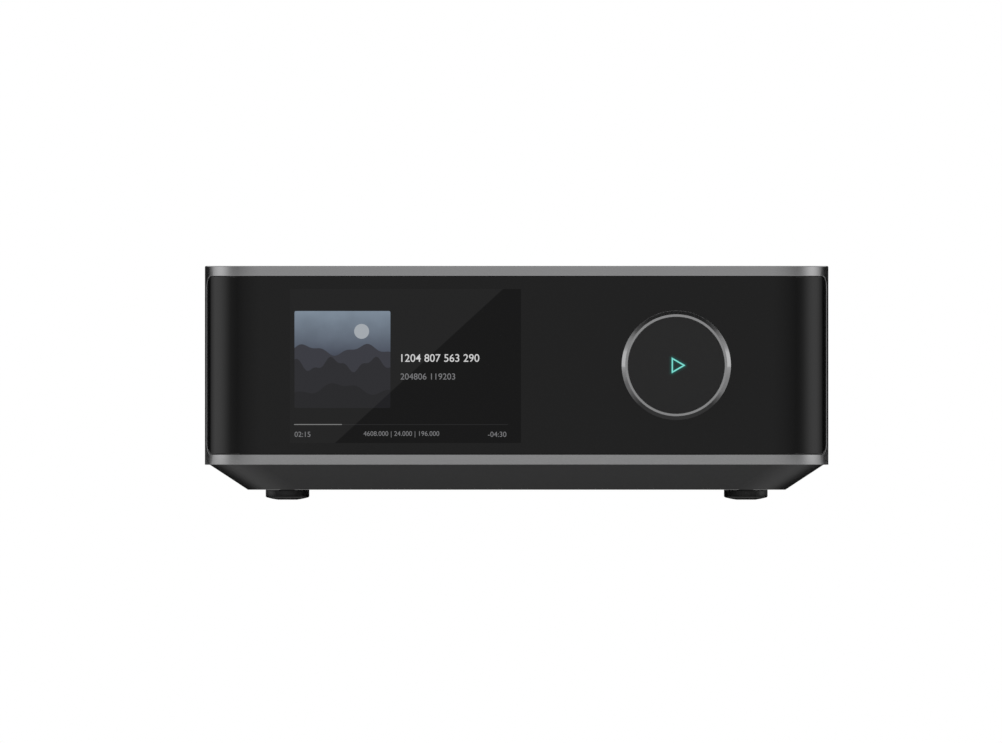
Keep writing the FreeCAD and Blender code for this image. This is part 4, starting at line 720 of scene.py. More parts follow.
def hole_patch():
    """A flat square patch round the knob, with a round hole.

    Each row lies between the circle and the square, in equal shares from one to the other.
    """
    edge = np.linspace(-KNOB_PATCH, KNOB_PATCH, KNOB_PATCH_STEPS + 1)[:-1]
    full = np.full(KNOB_PATCH_STEPS, KNOB_PATCH)
    square = np.stack([np.concatenate([edge, full, -edge, -full]),
                       np.concatenate([-full, edge, full, -edge])], axis=-1)
    circle = PANEL_HOLE * circle_points(full_turn(len(square)) - 0.75 * math.pi)
    share = np.linspace(0, 1, 5)
    flat = circle + (square - circle) * share[:, None, None] + (KNOB_X, KNOB_Z)
    return np.insert(flat, 1, PANEL_FACE, axis=-1), grid_faces(len(share), len(square), close_columns=True)


def make_panel():
    """The gloss panel: a wall patch with round ends, and a square patch round the knob's hole."""
    window = {"low": PANEL_LOW[2], "high": PANEL_HIGH[2],
              "corner": WINDOW["corner"] - PANEL_GAP, "back": WINDOW["back"] - PANEL_GAP}
    steps = np.linspace(-KNOB_PATCH, KNOB_PATCH, KNOB_PATCH_STEPS + 1)
    levels = row_levels(window, KNOB_Z + steps)
    end = window_end(levels, window, PANEL_RECESS)[:, None]
    right = FLAT_RUN + (end - FLAT_RUN) * np.linspace(0, 1, 25)
    flat = np.concatenate([PANEL_COLUMNS, KNOB_X + steps])
    along = np.concatenate([-right[:, ::-1], np.broadcast_to(flat, (len(levels), len(flat))), right], axis=1)
    points, faces = wall_patch(along, levels[:, None], PANEL_RECESS)
    x, y, z = points.reshape(-1, 3)[faces].mean(axis=1).T
    beside = np.maximum(np.abs(x - KNOB_X), np.abs(z - KNOB_Z)) > KNOB_PATCH
    beside |= y > FRONT + CORNER / 2
    panel = piece("panel_skin", gather([(points, faces[beside]), hole_patch()]), "panel_gloss",
                  replaces="front_panel")
    thicken(panel, PANEL_THICKNESS)
    soften(panel, 0.12)


def rounded_rectangle(left, right, low, high, corner, steps=6):
    """A rectangle's outline with quarter circles for corners, as points in order."""
    arc = circle_points(np.linspace(0, QUARTER_TURN, steps + 1)) * corner
    points = []
    for x, z in ((right - corner, high - corner), (left + corner, high - corner),
                 (left + corner, low + corner), (right - corner, low + corner)):
        points.append(arc + (x, z))
        arc = arc @ [[0, 1], [-1, 0]]
    return np.concatenate(points)


def film(name, shape, first, last, finish):
    """A thin flat piece on the front: an outline seen from the front, between two levels."""
    rings = [np.insert(shape, 1, level, axis=1) for level in (first, last)]
    piece(name, capped(rings), "display_glass", finish, smooth=False)


def film_level(layer):
    return PANEL_FACE - FILM_STEP * (layer + 1)


def picture_box(left, right, top, bottom):
    (x0, z0), (x1, z1) = from_picture(left, bottom), from_picture(right, top)
    return x0, x1, z0, z1


BAR_ROUND = 0.49


def make_bar(name, left, right, top, bottom, finish, layer=1):
    edges = picture_box(left, right, top, bottom)
    film(name, rounded_rectangle(*edges, BAR_ROUND * (edges[3] - edges[2]), 5), film_level(0),
         film_level(layer), finish)


def figure_mesh(text, weight=0.0):
    """Plain figures, flat: points (along, up) with their lower left corner at 0, and faces."""
    curve = bpy.data.curves.new("figures", "FONT")
    curve.body = text
    curve.offset = weight
    maker = link_object("figures", curve)
    bpy.context.view_layer.update()
    flat = bpy.data.meshes.new_from_object(maker)
    bpy.data.objects.remove(maker)
    points = np.zeros(len(flat.vertices) * 3)
    flat.vertices.foreach_get("co", points)
    points = points.reshape(-1, 3)[:, :2]
    return points - points.min(axis=0), [list(face.vertices) for face in flat.polygons]


def make_figures(name, text, left, middle_down, height_px, finish, weight=0.0):
    """Figures on the display, placed in pixels of the photograph."""
    points, faces = figure_mesh(text, weight)
    tall = points[:, 1].max()
    points = (points - (0, tall / 2)) * height_px / PIXELS_PER_MM / tall
    points += from_picture(left, middle_down)
    thicken(piece(name, (np.insert(points, 1, film_level(1), axis=1), faces), "display_glass", finish,
                  recalculate=False, smooth=False), FILM_STEP)


def make_screen():
    left, right, low, high = picture_box(*SCREEN)
    film("screen_film", np.array([[left, low], [right, low], [right, high], [left, high]]),
         FILM_BACK, film_level(0), lit("screen_film", (0.0004, 0.0004, 0.0005, 1)))
    white = lit("screen_white", srgb(205, 205, 205))
    grey = lit("screen_grey", srgb(118, 118, 120))
    make_bar("progress_rest", 294, 508, 424.2, 424.9, lit("screen_faint", srgb(30, 30, 31)))
    make_bar("progress_done", 294, 342, 424.05, 424.95, lit("screen_middle", srgb(118, 118, 118)), 2)
    make_figures("count_figures", "1204 807 563 290", 401.3, 358, 7.8, white, 0.004)
    make_figures("length_figures", "204806 119203", 400.5, 376.5, 6.2, grey)
    make_figures("time_gone", "02:15", 294.6, 434.3, 5.2, grey)
    make_figures("figures_middle", "4608.000 | 24.000 | 196.000", 363.5, 434.3, 6.2, grey)
    make_figures("time_left", "-04:30", 488, 434.3, 5.2, grey)
    make_art()


# The picture's disc: its place as shares of the width and the height, and its radius
ART_DISC = (0.70, 0.79, 2.4)
# Its hills, from far to near: height and swing as shares of the picture, waves, phase and colour
ART_HILLS = ((0.60, 0.045, 1.6, 0.4, (46, 47, 55)), (0.45, 0.06, 2.3, 2.1, (28, 28, 33)),
             (0.20, 0.05, 1.3, 4.0, (18, 18, 22)))
ART_CORNER = 0.5


def make_art():
    """A generic picture: a sky that darkens downwards, a pale disc and three rows of hills."""
    left, right, low, high = picture_box(*ART)
    sheet = rounded_rectangle(left, right, low, high, ART_CORNER)
    lit_sky("art_sky", low, high)
    film("art_sky", sheet, film_level(0), film_level(1), "art_sky")
    across, up, radius = ART_DISC
    disc = radius * circle_points(full_turn(48)) + (left + across * (right - left), low + up * (high - low))
    film("art_disc", disc, film_level(1), film_level(2), lit("art_disc", srgb(160, 166, 172)))
    foot = sheet[len(sheet) // 2:]
    share = np.linspace(0, 1, 41)
    for index, (rise, swing, count, phase, color) in enumerate(ART_HILLS):
        run = math.pi * count * share
        wave = np.sin(2 * run + phase) + 0.4 * np.sin(5.3 * run)
        top = low + (high - low) * (rise + swing * wave)
        ridge = np.stack([left + (right - left) * share, top], axis=-1)[::-1]
        name = f"art_hills_{index + 1}"
        film(name, np.concatenate([ridge, foot]), film_level(1), film_level(2 + index),
             lit(name, srgb(*color)))


# A rounded corner takes up at most this share of a side
ROUND_SHARE = 0.45


def rounded_profile(points, radius, steps=3):
    """A closed profile, each corner cut back towards its neighbours and joined again by a curve."""
    corner = np.asarray(points, float)
    before, after = (np.roll(corner, step, axis=0) - corner for step in (1, -1))
    back, on = (np.linalg.norm(side, axis=1, keepdims=True) for side in (before, after))
    reach = np.minimum(radius, ROUND_SHARE * np.minimum(back, on))
    start, end = corner + before / back * reach, corner + after / on * reach
    share = np.linspace(0, 1, steps + 1)[:, None, None]
    curve = start * (1 - share) ** 2 + corner * 2 * share * (1 - share) + end * share ** 2
    return curve.transpose(1, 0, 2).reshape(-1, 2)


def turned_patch(profile, centre, steps=96, axis="Y", shape=None, closed=True):
    """A profile of (level, radius) carried round an axis: radius times (cos a, sin a).

    The profile is closed, or else it starts and ends on the axis. A shape changes the radii.
    """
    profile = np.asarray(profile, float)
    turn = full_turn(steps)
    level, radius = (np.broadcast_to(profile[:, [side]], (len(profile), steps)) for side in (0, 1))
    if shape:
        radius = shape(level, radius, turn)
    first, second = radius * np.cos(turn), radius * np.sin(turn)
    x, y, z = centre
    rows = [x + first, level, z + second] if axis == "Y" else [x + first, y + second, level]
    return np.stack(rows, axis=-1), grid_faces(len(profile), steps, closed, True)


def make_knob():
    """The ring: a rim with a chamfer, a skirt behind it and a web inside."""
    front, back = RING_LOW[1], RING_HIGH[1]
    rim = RING_RADIUS - RING_CHAMFER - RING_RIM
    bore = 12.05
    web_front, web_back = front + 2.3, front + 5.4
    skirt = RING_RADIUS - 1.0
    profile = [(front, rim), (front, RING_RADIUS - RING_CHAMFER), (front + RING_CHAMFER, RING_RADIUS),
               (back, RING_RADIUS), (back, skirt), (web_back, skirt), (web_back, bore),
               (web_front, bore), (web_front, rim)]
    patch = turned_patch(rounded_profile(profile, 0.09), (KNOB_X, 0, KNOB_Z), 160)
    even_normals(piece("knob_ring_metal", patch, "ring_aluminium", body="knob_wheel",
                       replaces="knob_ring"))


FOOT_X = 73.5
FOOT_ROWS = (-72.5, 65.5)
FOOT_RADIUS = 7.0
FOOT_DOME = 24.0
FOOT_FLAT = 3.0
FOOT_PLUG = 2.4


def make_feet():
    """Four rubber feet, their soles part of a wide sphere with a small flat in the middle."""
    top = box_mm("base_tray")[0][2]
    reach = np.linspace(FOOT_FLAT, FOOT_RADIUS - 0.35, 9)
    sole = np.sqrt(FOOT_DOME ** 2 - FOOT_FLAT ** 2) - np.sqrt(FOOT_DOME ** 2 - reach ** 2)
    edge = sole[-1]
    profile = [(0, 0), *zip(sole, reach), (edge + 0.14, FOOT_RADIUS - 0.12), (edge + 0.42, FOOT_RADIUS),
               (top - 0.1, FOOT_RADIUS), (top - 0.02, FOOT_RADIUS - 0.08), (top - 0.02, FOOT_PLUG),
               (top + 1.9, FOOT_PLUG), (top + 1.9, 0)]
    patches = [turned_patch(profile, (x, y, 0), 96, "Z", closed=False)
               for x in (-FOOT_X, FOOT_X) for y in FOOT_ROWS]
    even_normals(piece("rubber_feet", gather(patches), "foot_rubber", replaces="feet"))


# The grips: their hollows, their bore and the hole in their end, and where the hollows fade out
GRIP_FLUTES = 10
GRIP_FLUTE_DEPTH = 0.62
GRIP_BORE = 4.05
GRIP_HOLE = 2.4
GRIP_COLLAR = 2.0
GRIP_FADE = 0.8
GRIP_SKIN = 1.3


def make_posts():
    """The four screwed grips, with ten hollows round each."""
    for index in range(1, 5):
        low, high = box_mm(f"post_cap_{index}")
        radius = (high[0] - low[0]) / 2
        start, back = low[1], high[1]

        def flute(level, given, turn):
            """The radius falls to each hollow, but not at the grip's collar nor well inside it."""
            depth = np.cos(GRIP_FLUTES * turn / 2) ** 4 * GRIP_FLUTE_DEPTH
            beyond = np.clip((level - start - GRIP_COLLAR) / GRIP_FADE, 0, 1)
            return given - depth * beyond * np.clip(given - radius + GRIP_SKIN, 0, 1)

        profile = [(start, GRIP_BORE), (start, radius), (start + 1.6, radius), (start + 2.9, radius),
                   (back - 1.0, radius), (back, radius - 1.0), (back, 3.3), (back - 0.5, GRIP_HOLE),
                   (back - 2.0, GRIP_HOLE), (back - 2.0, GRIP_BORE)]
        patch = turned_patch(rounded_profile(profile, 0.3), (low + high) / 2, 120, shape=flute)
        even_normals(piece(f"post_grip_{index}", patch, "grip_black" if index < 3 else "grip_red",
                           body=f"grip_{index}", replaces=f"post_cap_{index}"))


def hexagon(size):
    """Radii close to the given one follow a hexagon, whose corners lie that far out."""
    def shape(level, radius, turn):
        sixth = math.pi / 3
        flat = radius * math.cos(sixth / 2) / np.cos(np.mod(turn, sixth) - sixth / 2)
        return np.where(np.abs(radius / size - 1) < 0.02, flat, radius)
    return shape


SCREW_HEAD = 2.75
SCREW_RISE = 1.8
SCREW_SOCKET = 1.3
SCREW_SHANK = 1.4
SCREW_LENGTHS = {"rear": 6.0, "base": 10.0}


def screw_patch(centre, seat, outward, length, axis):
    """A pan-head screw: its socket, its domed head and its plain shank, about one axis."""
    top = SCREW_RISE
    profile = [(top - 1.0, 0), (top - 1.0, SCREW_SOCKET), (top - 0.08, SCREW_SOCKET),
               (top, SCREW_SOCKET + 0.12), (top, 1.9), (top - 0.08, 2.25), (top - 0.35, 2.55),
               (top - 0.8, SCREW_HEAD - 0.03), (top - 1.2, SCREW_HEAD), (0.06, SCREW_HEAD),
               (0, SCREW_HEAD - 0.06), (0, SCREW_SHANK), (-length, SCREW_SHANK), (-length, 0)]
    profile = np.array(profile) * (outward, 1) + (seat, 0)
    return turned_patch(profile, centre, 72, axis, hexagon(SCREW_SOCKET), closed=False)


REAR_SCREWS = [(x, z) for x in (-78.0, 78.0) for z in (CASE_LOW[2] + 9.0, CASE_HIGH[2] - 9.0)]
BASE_SCREWS = [(x, y) for x in (-80.5, 80.5) for y in LUG_ROWS]


def make_screws():
    rear = [screw_patch((x, 0, z), REAR, 1, SCREW_LENGTHS["rear"], "Y") for x, z in REAR_SCREWS]
    crisp(piece("rear_pan_screws", gather(rear), "screw_steel", replaces="rear_screws"))
    seat = box_mm("base_screws")[0][2] + SCREW_RISE
    under = [screw_patch((x, y, 0), seat, -1, SCREW_LENGTHS["base"], "Z") for x, y in BASE_SCREWS]
    crisp(piece("base_pan_screws", gather(under), "screw_steel", replaces="base_screws"))


def make_jacks():
    """Three gilt barrels, each with a washer, a hexagonal nut and a groove behind its mouth."""
    nut, washer, barrel, bore = 5.35, 5.6, 4.15, 3.4
    profile = [(0, bore), (0, barrel), (2.0, barrel), (2.0, washer), (2.45, washer), (2.45, nut),
               (3.5, nut), (3.5, barrel), (9.6, barrel), (9.75, 3.98), (10.15, 3.98), (10.3, barrel),
               (12.0, barrel), (12.0, bore)]
    for name in JACKS:
        low, high = box_mm(name)
        rows = rounded_profile(np.array(profile) + (low[1], 0), 0.12, 2)
        crisp(piece(name + "_barrel", turned_patch(rows, (low + high) / 2, shape=hexagon(nut)),
                    "contact_gold", replaces=name))


# The least cross product of a ray and an edge, and how far past its ends an edge still counts
TINY = 1e-9
SLACK = 1e-6


def reach_at(ray, shape):
    """How far out an outline round nought lies along each ray: where the ray crosses an edge of it."""
    edge = np.roll(shape, -1, axis=0) - shape
    ray = ray[:, None]
    cross = ray[..., 0] * edge[:, 1] - ray[..., 1] * edge[:, 0]
    cross = np.where(np.abs(cross) < TINY, TINY, cross)
    far = (shape[:, 0] * edge[:, 1] - shape[:, 1] * edge[:, 0]) / cross
    share = (shape[:, 0] * ray[..., 1] - shape[:, 1] * ray[..., 0]) / cross
    return np.where((share > -SLACK) & (share < 1 + SLACK) & (far > 0), far, 0).max(axis=1)


def stepped_patch(rows, centre):
    """A closed solid through outlines at levels along Y. The first and the last are its end faces.

    All outlines are read along the same rays from the centre, one through every corner of each.
    """
    rows = [(points - centre, level) for points, level in rows]
    corners = np.concatenate([shape for shape, _ in rows])
    ray = circle_points(np.unique(np.round(np.arctan2(corners[:, 1], corners[:, 0]), 4)))
    return capped([np.insert(centre + ray * reach_at(ray, shape)[:, None], 1, level, axis=1)
                   for shape, level in rows])


def port(node):
    """Where a part of the rear lies: its middle across and up, its back and its face."""
    low, high = box_mm(node)
    return (low[0] + high[0]) / 2, (low[2] + high[2]) / 2, low[1], high[1]


def boxed(x, z, width, height, corner):
    return rounded_rectangle(x - width / 2, x + width / 2, z - height / 2, z + height / 2, corner, 4)


def shell(outside, back, face, mouth, depth):
    """The outlines of a plain shell: outside from its back to its face, and inside down its mouth."""
    return [(outside, back), (outside, face), (mouth, face), (mouth, face - depth)]


def make_socket(name, node, rows, centre, slot, bevel=0.12):
    soften(piece(name, stepped_patch(rows, centre), slot, replaces=node), bevel, 2, 50)


def make_contacts(name, places, half, reach, heights):
    """Gilt strips: where they lie across, half their width, and where each runs from and to."""
    strips = [box_patch((x - half, reach[0], low), (x + half, reach[1], high))
              for x in places for low, high in heights]
    soften(piece(name, gather(strips), "contact_gold", smooth=False), 0.05, 1)


def make_blade(name, x, z, half, depth, rise):
    """The tongue of a socket, on which its contacts lie."""
    soften(piece(name, box_patch((x - half, depth[0], z + rise[0]), (x + half, depth[1], z + rise[1])),
                 "inner_black"), 0.15)


def make_optical():
    """The optical socket's housing, with a step and a hole behind its mouth."""
    x, z, back, face = port("optical_port")
    sizes = ((9.8, 0.5, back), (9.8, 0.5, face), (8.2, 0.4, face), (8.0, 0.4, face - 0.25),
             (6.4, 0.1, face - 0.25), (6.4, 0.1, face - 8.0))
    rows = [(boxed(x, z, size, size, corner), level) for size, corner, level in sizes]
    make_socket("optical_housing", "optical_port", rows, (x, z), "inner_black", 0.06)


def make_hdmi():
    x, z, back, face = port("hdmi_port")

    def hooded(inset):
        """A wide outline whose two lower corners are cut off on the slant."""
        side, half = 7.5 - inset, 2.8 - inset
        points = [(side, half), (-side, half), (-side, -0.5), (-side + 1.6, -half),
                  (side - 1.6, -half), (side, -0.5)]
        return rounded_profile(np.array(points) + (x, z), 0.5)

    make_socket("hdmi_shell", "hdmi_port", shell(hooded(0), back, face, hooded(0.45), 10), (x, z),
                "socket_steel")
    make_blade("hdmi_tongue", x, z, 4.75, (face - 10.1, face - 1.5), (-0.6, 0.6))
    make_contacts("hdmi_contacts", x - 4.05 + 0.9 * np.arange(10), 0.17, (face - 9, face - 1.9),
                  [(z + 0.62 * side - 0.06, z + 0.62 * side + 0.06) for side in (-1, 1)])


def make_usb():
    x, z, back, face = port("usb_port")
    rows = shell(boxed(x, z, 13.4, 6.2, 0.8), back, face, boxed(x, z, 12.5, 5.3, 0.4), 11.5)
    make_socket("usb_shell", "usb_port", rows, (x, z), "socket_steel")
    make_blade("usb_tongue", x, z, 5.5, (face - 11.6, face - 1.5), (0.3, 2.2))
    make_contacts("usb_contacts", x + np.array([-3.5, -1.0, 1.0, 3.5]), 0.5, (face - 10, face - 2.2),
                  [(z + 0.2, z + 0.35)])


def make_network():
    x, z, back, face = port("ethernet_port")
    mouth_low = box_mm("ethernet_port")[0][2] + 3.2
    mouth_high = mouth_low + 8.3

    def notched(grow, corner):
        """The plug's mouth with the notch for its latch below, as one outline."""
        side, notch = 5.9 + grow, 3.1 + grow
        top, foot, step = mouth_high + grow, mouth_low - 2.2 - grow, mouth_low - grow
        points = [(side, top), (-side, top), (-side, step), (-notch, step), (-notch, foot),
                  (notch, foot), (notch, step), (side, step)]
        return rounded_profile(np.array(points) + (x, 0), corner, 2)

    middle = (x, mouth_low + 3.0)
    make_socket("network_shell", "ethernet_port",
                shell(boxed(x, z, 16.0, 13.5, 0.6), back, face, notched(0.55, 0.3), 13), middle,
                "socket_steel", 0.1)
    make_socket("network_liner", None,
                shell(notched(0.52, 0.3), face - 12.9, face - 0.2, notched(0, 0.15), 12.6), middle,
                "inner_black", 0.08)
    make_contacts("network_contacts", x + 1.02 * (np.arange(8) - 3.5), 0.2, (face - 11, face - 1.2),
                  [(mouth_high - 0.55, mouth_high - 0.2)])


def make_inlet():
    """The mains inlet: a flange, a housing behind it, and a mouth of two lobes and a waist."""
    x, z, back, face = port("mains_inlet")
    lobe, offset, waist = 4.2, 3.7, 3.5
    end = math.pi - math.asin(waist / lobe)
    right = lobe * circle_points(np.linspace(-end, end, 25)) + (offset, 0)
    mouth = np.concatenate([right, -right]) + (x, z)
    flange = boxed(x, z, 27.0, 18.0, 1.6)
    housing = boxed(x, z, 21.0, 13.0, 1.0)
    make_socket("inlet_moulding", "mains_inlet",
                [(housing, back), (housing, face - 2), *shell(flange, face - 2, face, mouth, 12)],
                (x, z), "inner_black", 0.3)


def make_post_base():
    """The moulded plate that carries the four posts, with a collar under each washer."""
    x, z, _, face = port("post_base")
    back = REAR - WALL
    plate = boxed(x, z, 40, 40, 2.0)
    patches = [stepped_patch([(plate, back), (plate, face)], (x, z))]
    collar = [(back - 2.6, 0), (back - 2.6, 6.0), (back + 0.5, 6.0), (back + 0.5, 0)]
    patches += [turned_patch(collar, box_middle(f"post_cap_{index}"), 48, closed=False)
                for index in range(1, 5)]
    soften(piece("post_plate", gather(patches), "inner_black", replaces="post_base"), 0.5, 3)


MARK_DEPTH = 0.04
MARK_NODES = (*JACKS, "trigger_jack", "optical_port", "hdmi_port", "usb_port", "ethernet_port",
              "mains_inlet")
SIGN_REACH = 1.2
SIGN_LINE = 0.2


def rear_figures(text, x, z, height):
    """Figures that read from behind, with their middle at a place on the rear plate."""
    points, faces = figure_mesh(text)
    points = (points - points.max(axis=0) / 2) * height / points[:, 1].max() * (-1, 1) + (x, z)
    return np.insert(points, 1, REAR - WALL + MARK_DEPTH, axis=1), faces


def make_marks():
    """Plain numbers printed above the sockets, and a plus or a minus beside the posts."""
    patches = [rear_figures(str(index + 1), box_middle(node)[0], box_mm(node)[1][2] + 3.2, 2.4)
               for index, node in enumerate(MARK_NODES)]
    thicken(piece("rear_numbers", gather(patches), "inner_black", "mark_white",
                  recalculate=False, smooth=False), MARK_DEPTH)
    x, _, _, face = port("post_base")
    minus, plus = (box_middle(f"post_cap_{index}")[2] for index in (1, 3))
    strokes = [(SIGN_REACH, minus - SIGN_LINE, minus + SIGN_LINE),
               (SIGN_REACH, plus - SIGN_LINE, plus + SIGN_LINE),
               (SIGN_LINE, plus - SIGN_REACH, plus - SIGN_LINE),
               (SIGN_LINE, plus + SIGN_LINE, plus + SIGN_REACH)]
    blocks = [box_patch((x - half, face - 0.1, low), (x + half, face + MARK_DEPTH, high))
              for half, low, high in strokes]
    piece("post_signs", gather(blocks), "inner_black", "mark_white", smooth=False)


# Camera and light

CAMERA_DISTANCE = 1.0


def make_camera():
    data = bpy.data.cameras.new("camera")
    data.type = "ORTHO"
    data.ortho_scale = PICTURE_WIDTH / PIXELS_PER_MM * MM
    camera = link_object("camera", data)
    across, up = from_picture(PICTURE_WIDTH / 2, PICTURE_HEIGHT / 2)
    camera.location = (across * MM, -CAMERA_DISTANCE, up * MM)
    camera.rotation_euler = (QUARTER_TURN, 0, 0)
    bpy.context.scene.camera = camera


def stage_piece(name, points, faces, material, hidden=(), values=()):
    """A part of the studio: what doesn't see it, and a value at each of its points."""
    mesh = bpy.data.meshes.new(name)
    mesh.from_pydata(points.reshape(-1, 3).tolist(), [], [list(map(int, face)) for face in faces])
    if len(values):
        mesh.attributes.new("amount", "FLOAT", "POINT").data.foreach_set("value", values.ravel())
    mesh.materials.append(material)
    item = link_object(name, mesh)
    for kind in hidden:
        setattr(item, "visible_" + kind, False)


def emptied(holder):
    """The tree of a material or a world, with nothing in it yet."""
    holder.use_nodes = True
    holder.node_tree.nodes.clear()
    return holder.node_tree


def show(tree, surface, end="OutputMaterial"):
    link(tree, surface, add(tree, end).inputs["Surface"])


def point_amount(tree):
    return add(tree, "Attribute", {"attribute_name": "amount"}).outputs["Fac"]


def emission(tree, strength):
    return add(tree, "Emission", Color=WHITE, Strength=strength).outputs["Emission"]


def shader_mix(tree, share, first, second):
    return add(tree, "MixShader", None, share, first, second).outputs["Shader"]


def clear_shader(tree):
    return add(tree, "BsdfTransparent").outputs["BSDF"]


DRUM_RADIUS = 1.5
DRUM_HEIGHT = 1.3
DRUM_STEPS = 180
DRUM_ROWS = 14
# Light from round the object: degrees from straight in front, and brightness, low down on the
# left and on the right, and high up on both sides
DARK_REAR = ((134, 0.0), (174, 0.0), (176, 0.9), (180, 0.9))
DRUM_LEFT = ((0, 0.93), (12, 0.86), (24, 0.77), (36, 0.66), (50, 0.47), (57, 0.53), (64, 0.63),
             (71, 1.04), (79, 1.5), (87, 1.7), (93, 1.68), (99, 1.5), (106, 1.26), (109, 1.05),
             (112, 0.87), (116, 0.58), (120, 0.53), (125, 0.47), (130, 0.25), *DARK_REAR)
DRUM_RIGHT = ((0, 0.9), (13, 0.83), (25, 0.74), (38, 0.6), (51, 0.455), (58, 0.55), (65, 0.8),
              (73, 1.3), (81, 1.72), (89, 1.75), (95, 1.55), (101, 1.3), (104, 1.1), (108, 0.87),
              (111, 0.68), (115, 0.42), (119, 0.34), (124, 0.14), (129, 0.03), *DARK_REAR)
DRUM_HIGH = ((0, 0.95), (22, 0.9), (50, 0.5), (66, 0.62), (84, 1.4), (98, 1.4), (112, 1.0), (180, 0.9))
DRUM_BLEND = (0.35, 0.60)


def make_drum():
    """A wall of light: a point at angle a and height h lies at (r sin a, -r cos a, h).

    Its brightness is read off lists of angles, for low down and high up, and goes smoothly
    from one to the other with height.
    """
    turn = np.linspace(-180, 180, DRUM_STEPS + 1)[:-1]
    angle, level = np.meshgrid(np.radians(turn), np.linspace(0, DRUM_HEIGHT, DRUM_ROWS))
    points = np.stack([DRUM_RADIUS * np.sin(angle), -DRUM_RADIUS * np.cos(angle), level], axis=-1)
    left, right, high = (np.interp(np.abs(np.degrees(angle)), *zip(*rows))
                         for rows in (DRUM_LEFT, DRUM_RIGHT, DRUM_HIGH))
    low = np.where(angle < 0, left, right)
    share = np.clip((level - DRUM_BLEND[0]) / (DRUM_BLEND[1] - DRUM_BLEND[0]), 0, 1)
    material = bpy.data.materials.new("light_drum")
    tree = emptied(material)
    show(tree, emission(tree, point_amount(tree)))
    stage_piece("light_drum", points, grid_faces(DRUM_ROWS, DRUM_STEPS, close_columns=True), material,
                ("camera",), low + (high - low) * share)


# Flags, seen only in gloss, set what the object's ends, its knob and its base mirror:
# where each runs from and to, how it is spread across that, its cover along it, and its brightness
FLAG_ARCH = ((0.0, 0.0), (0.1, 0.3), (0.27, 0.53), (0.365, 0.88), (0.42, 1.0), (0.58, 1.0),
             (0.635, 0.88), (0.73, 0.53), (0.9, 0.3), (1.0, 0.0))
FLAG_FADE = ((0.0, 0.0), (0.25, 1.0), (0.75, 1.0), (1.0, 0.0))
FLAG_END = ((0.0, 0.0), (0.12, 1.0), (1.0, 1.0))
FLAG_WHOLE = ((0.0, 1.0), (1.0, 1.0))
# The flag under the base is as bright as this where it is seen at more of a slant than that
SLANT_GLOW = 0.0
SLANT = (0.43, 0.5)
FLAGS = {
    "flag_above": ((-1020, -135, 330), (1122, -135, 330), (0, 60, 0), FLAG_ARCH, 0.045),
    "flag_below": ((-24, -122, 1), (126, -122, 1), (0, 24, 0), FLAG_FADE, 0.12),
    "flag_left": ((-300, 40, 0), (-300, 500, 0), (0, 0, 170), FLAG_END, 0.025),
    "flag_right": ((300, 40, 0), (300, 500, 0), (0, 0, 170), FLAG_END, 0.025),
    "flag_rear_left": ((-300, 500, 0), (-130, 500, 0), (0, 0, 170), FLAG_WHOLE, 0.025),
    "flag_rear_right": ((300, 500, 0), (130, 500, 0), (0, 0, 170), FLAG_WHOLE, 0.025),
    "flag_under": ((-118, -99, 0.4), (118, -99, 0.4), (0, 250, 0), FLAG_WHOLE, 0.36, SLANT_GLOW),
}


def make_flag(name, start, end, spread, cover, brightness, slanted=None):
    """A flat strip from one end to the other, as opaque at each share of the way as its cover says."""
    share, opaque = np.array(cover).T
    along = np.array(start) + (np.array(end) - np.array(start)) * share[:, None]
    material = bpy.data.materials.new(name)
    tree = emptied(material)
    if slanted is not None:
        slant = add(tree, "LayerWeight", Blend=0.5).outputs["Facing"]
        brightness = map_range(tree, slant, *SLANT, brightness, slanted)
    show(tree, shader_mix(tree, point_amount(tree), clear_shader(tree), emission(tree, brightness)))
    stage_piece(name, np.stack([along, along + spread]) * MM, grid_faces(2, len(share)), material,
                ("camera", "diffuse", "transmission", "shadow"), np.tile(opaque, 2))


WORLD_LIGHT = 0.9


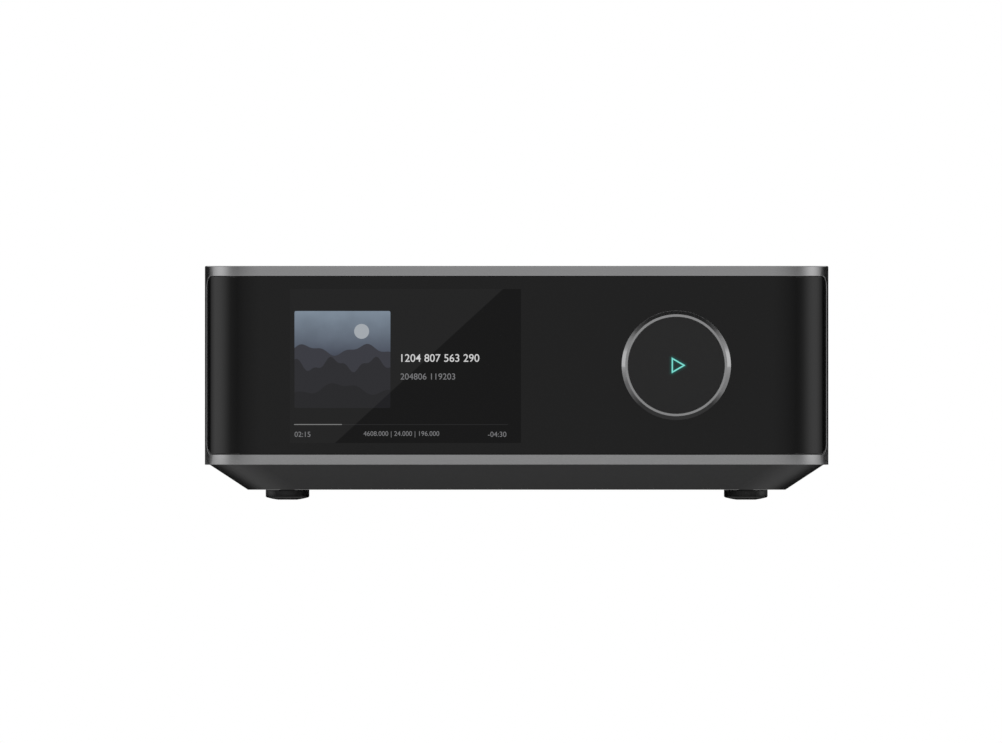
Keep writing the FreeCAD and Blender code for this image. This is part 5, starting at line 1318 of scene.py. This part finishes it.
def seen_directly(tree):
    """1 on what the camera sees straight, in gloss or through glass, and else 0."""
    path = add(tree, "LightPath").outputs
    seen = calculate(tree, "MAXIMUM", path["Is Camera Ray"], path["Is Glossy Ray"])
    return calculate(tree, "MAXIMUM", seen, path["Is Transmission Ray"])


def make_world():
    world = bpy.data.worlds.new("studio")
    bpy.context.scene.world = world
    tree = emptied(world)
    strength = map_range(tree, seen_directly(tree), 0, 1, WORLD_LIGHT, 1.0)
    show(tree, add(tree, "Background", Color=WHITE, Strength=strength).outputs["Background"], "OutputWorld")


FLOOR_RADIUS = 2.2
FLOOR_FADE = (0.16, 0.6)
FLOOR_STEPS = 64
FLOOR_COLOR = (0.84, 0.84, 0.84, 1)


def make_floor():
    """A pale disc whose far part turns into the white of the background.

    From below, the camera sees through it to the object's underside.
    """
    tree, shader = new_finish("floor", 0.9, Specular_IOR_Level=0.1)
    camera_ray = add(tree, "LightPath").outputs["Is Camera Ray"]
    link(tree, mixed(tree, camera_ray, FLOOR_COLOR, WHITE), shader["Base Color"])
    far = map_range(tree, vector_sum(tree, "LENGTH", object_place(tree)), *FLOOR_FADE, smooth=True)
    share = calculate(tree, "MULTIPLY", seen_directly(tree), far)
    top = shader_mix(tree, share, tree.nodes["Principled BSDF"].outputs["BSDF"], emission(tree, 1.0))
    below = add(tree, "NewGeometry").outputs["Backfacing"]
    link(tree, shader_mix(tree, below, top, clear_shader(tree)),
         tree.nodes["Material Output"].inputs["Surface"])
    rim = FLOOR_RADIUS * np.insert(circle_points(full_turn(FLOOR_STEPS)), 2, 0, axis=1)
    stage_piece("floor", rim, [range(FLOOR_STEPS)], finishes["floor"])


bpy.context.scene.view_settings.view_transform = "Standard"
make_camera()
make_drum()
for flag_name, flag_values in FLAGS.items():
    make_flag(flag_name, *flag_values)
make_world()
make_floor()
dress_nodes()
make_case()
make_panel()
make_screen()
make_knob()
make_feet()
make_posts()
make_post_base()
make_screws()
make_jacks()
make_optical()
make_hdmi()
make_usb()
make_network()
make_inlet()
make_marks()
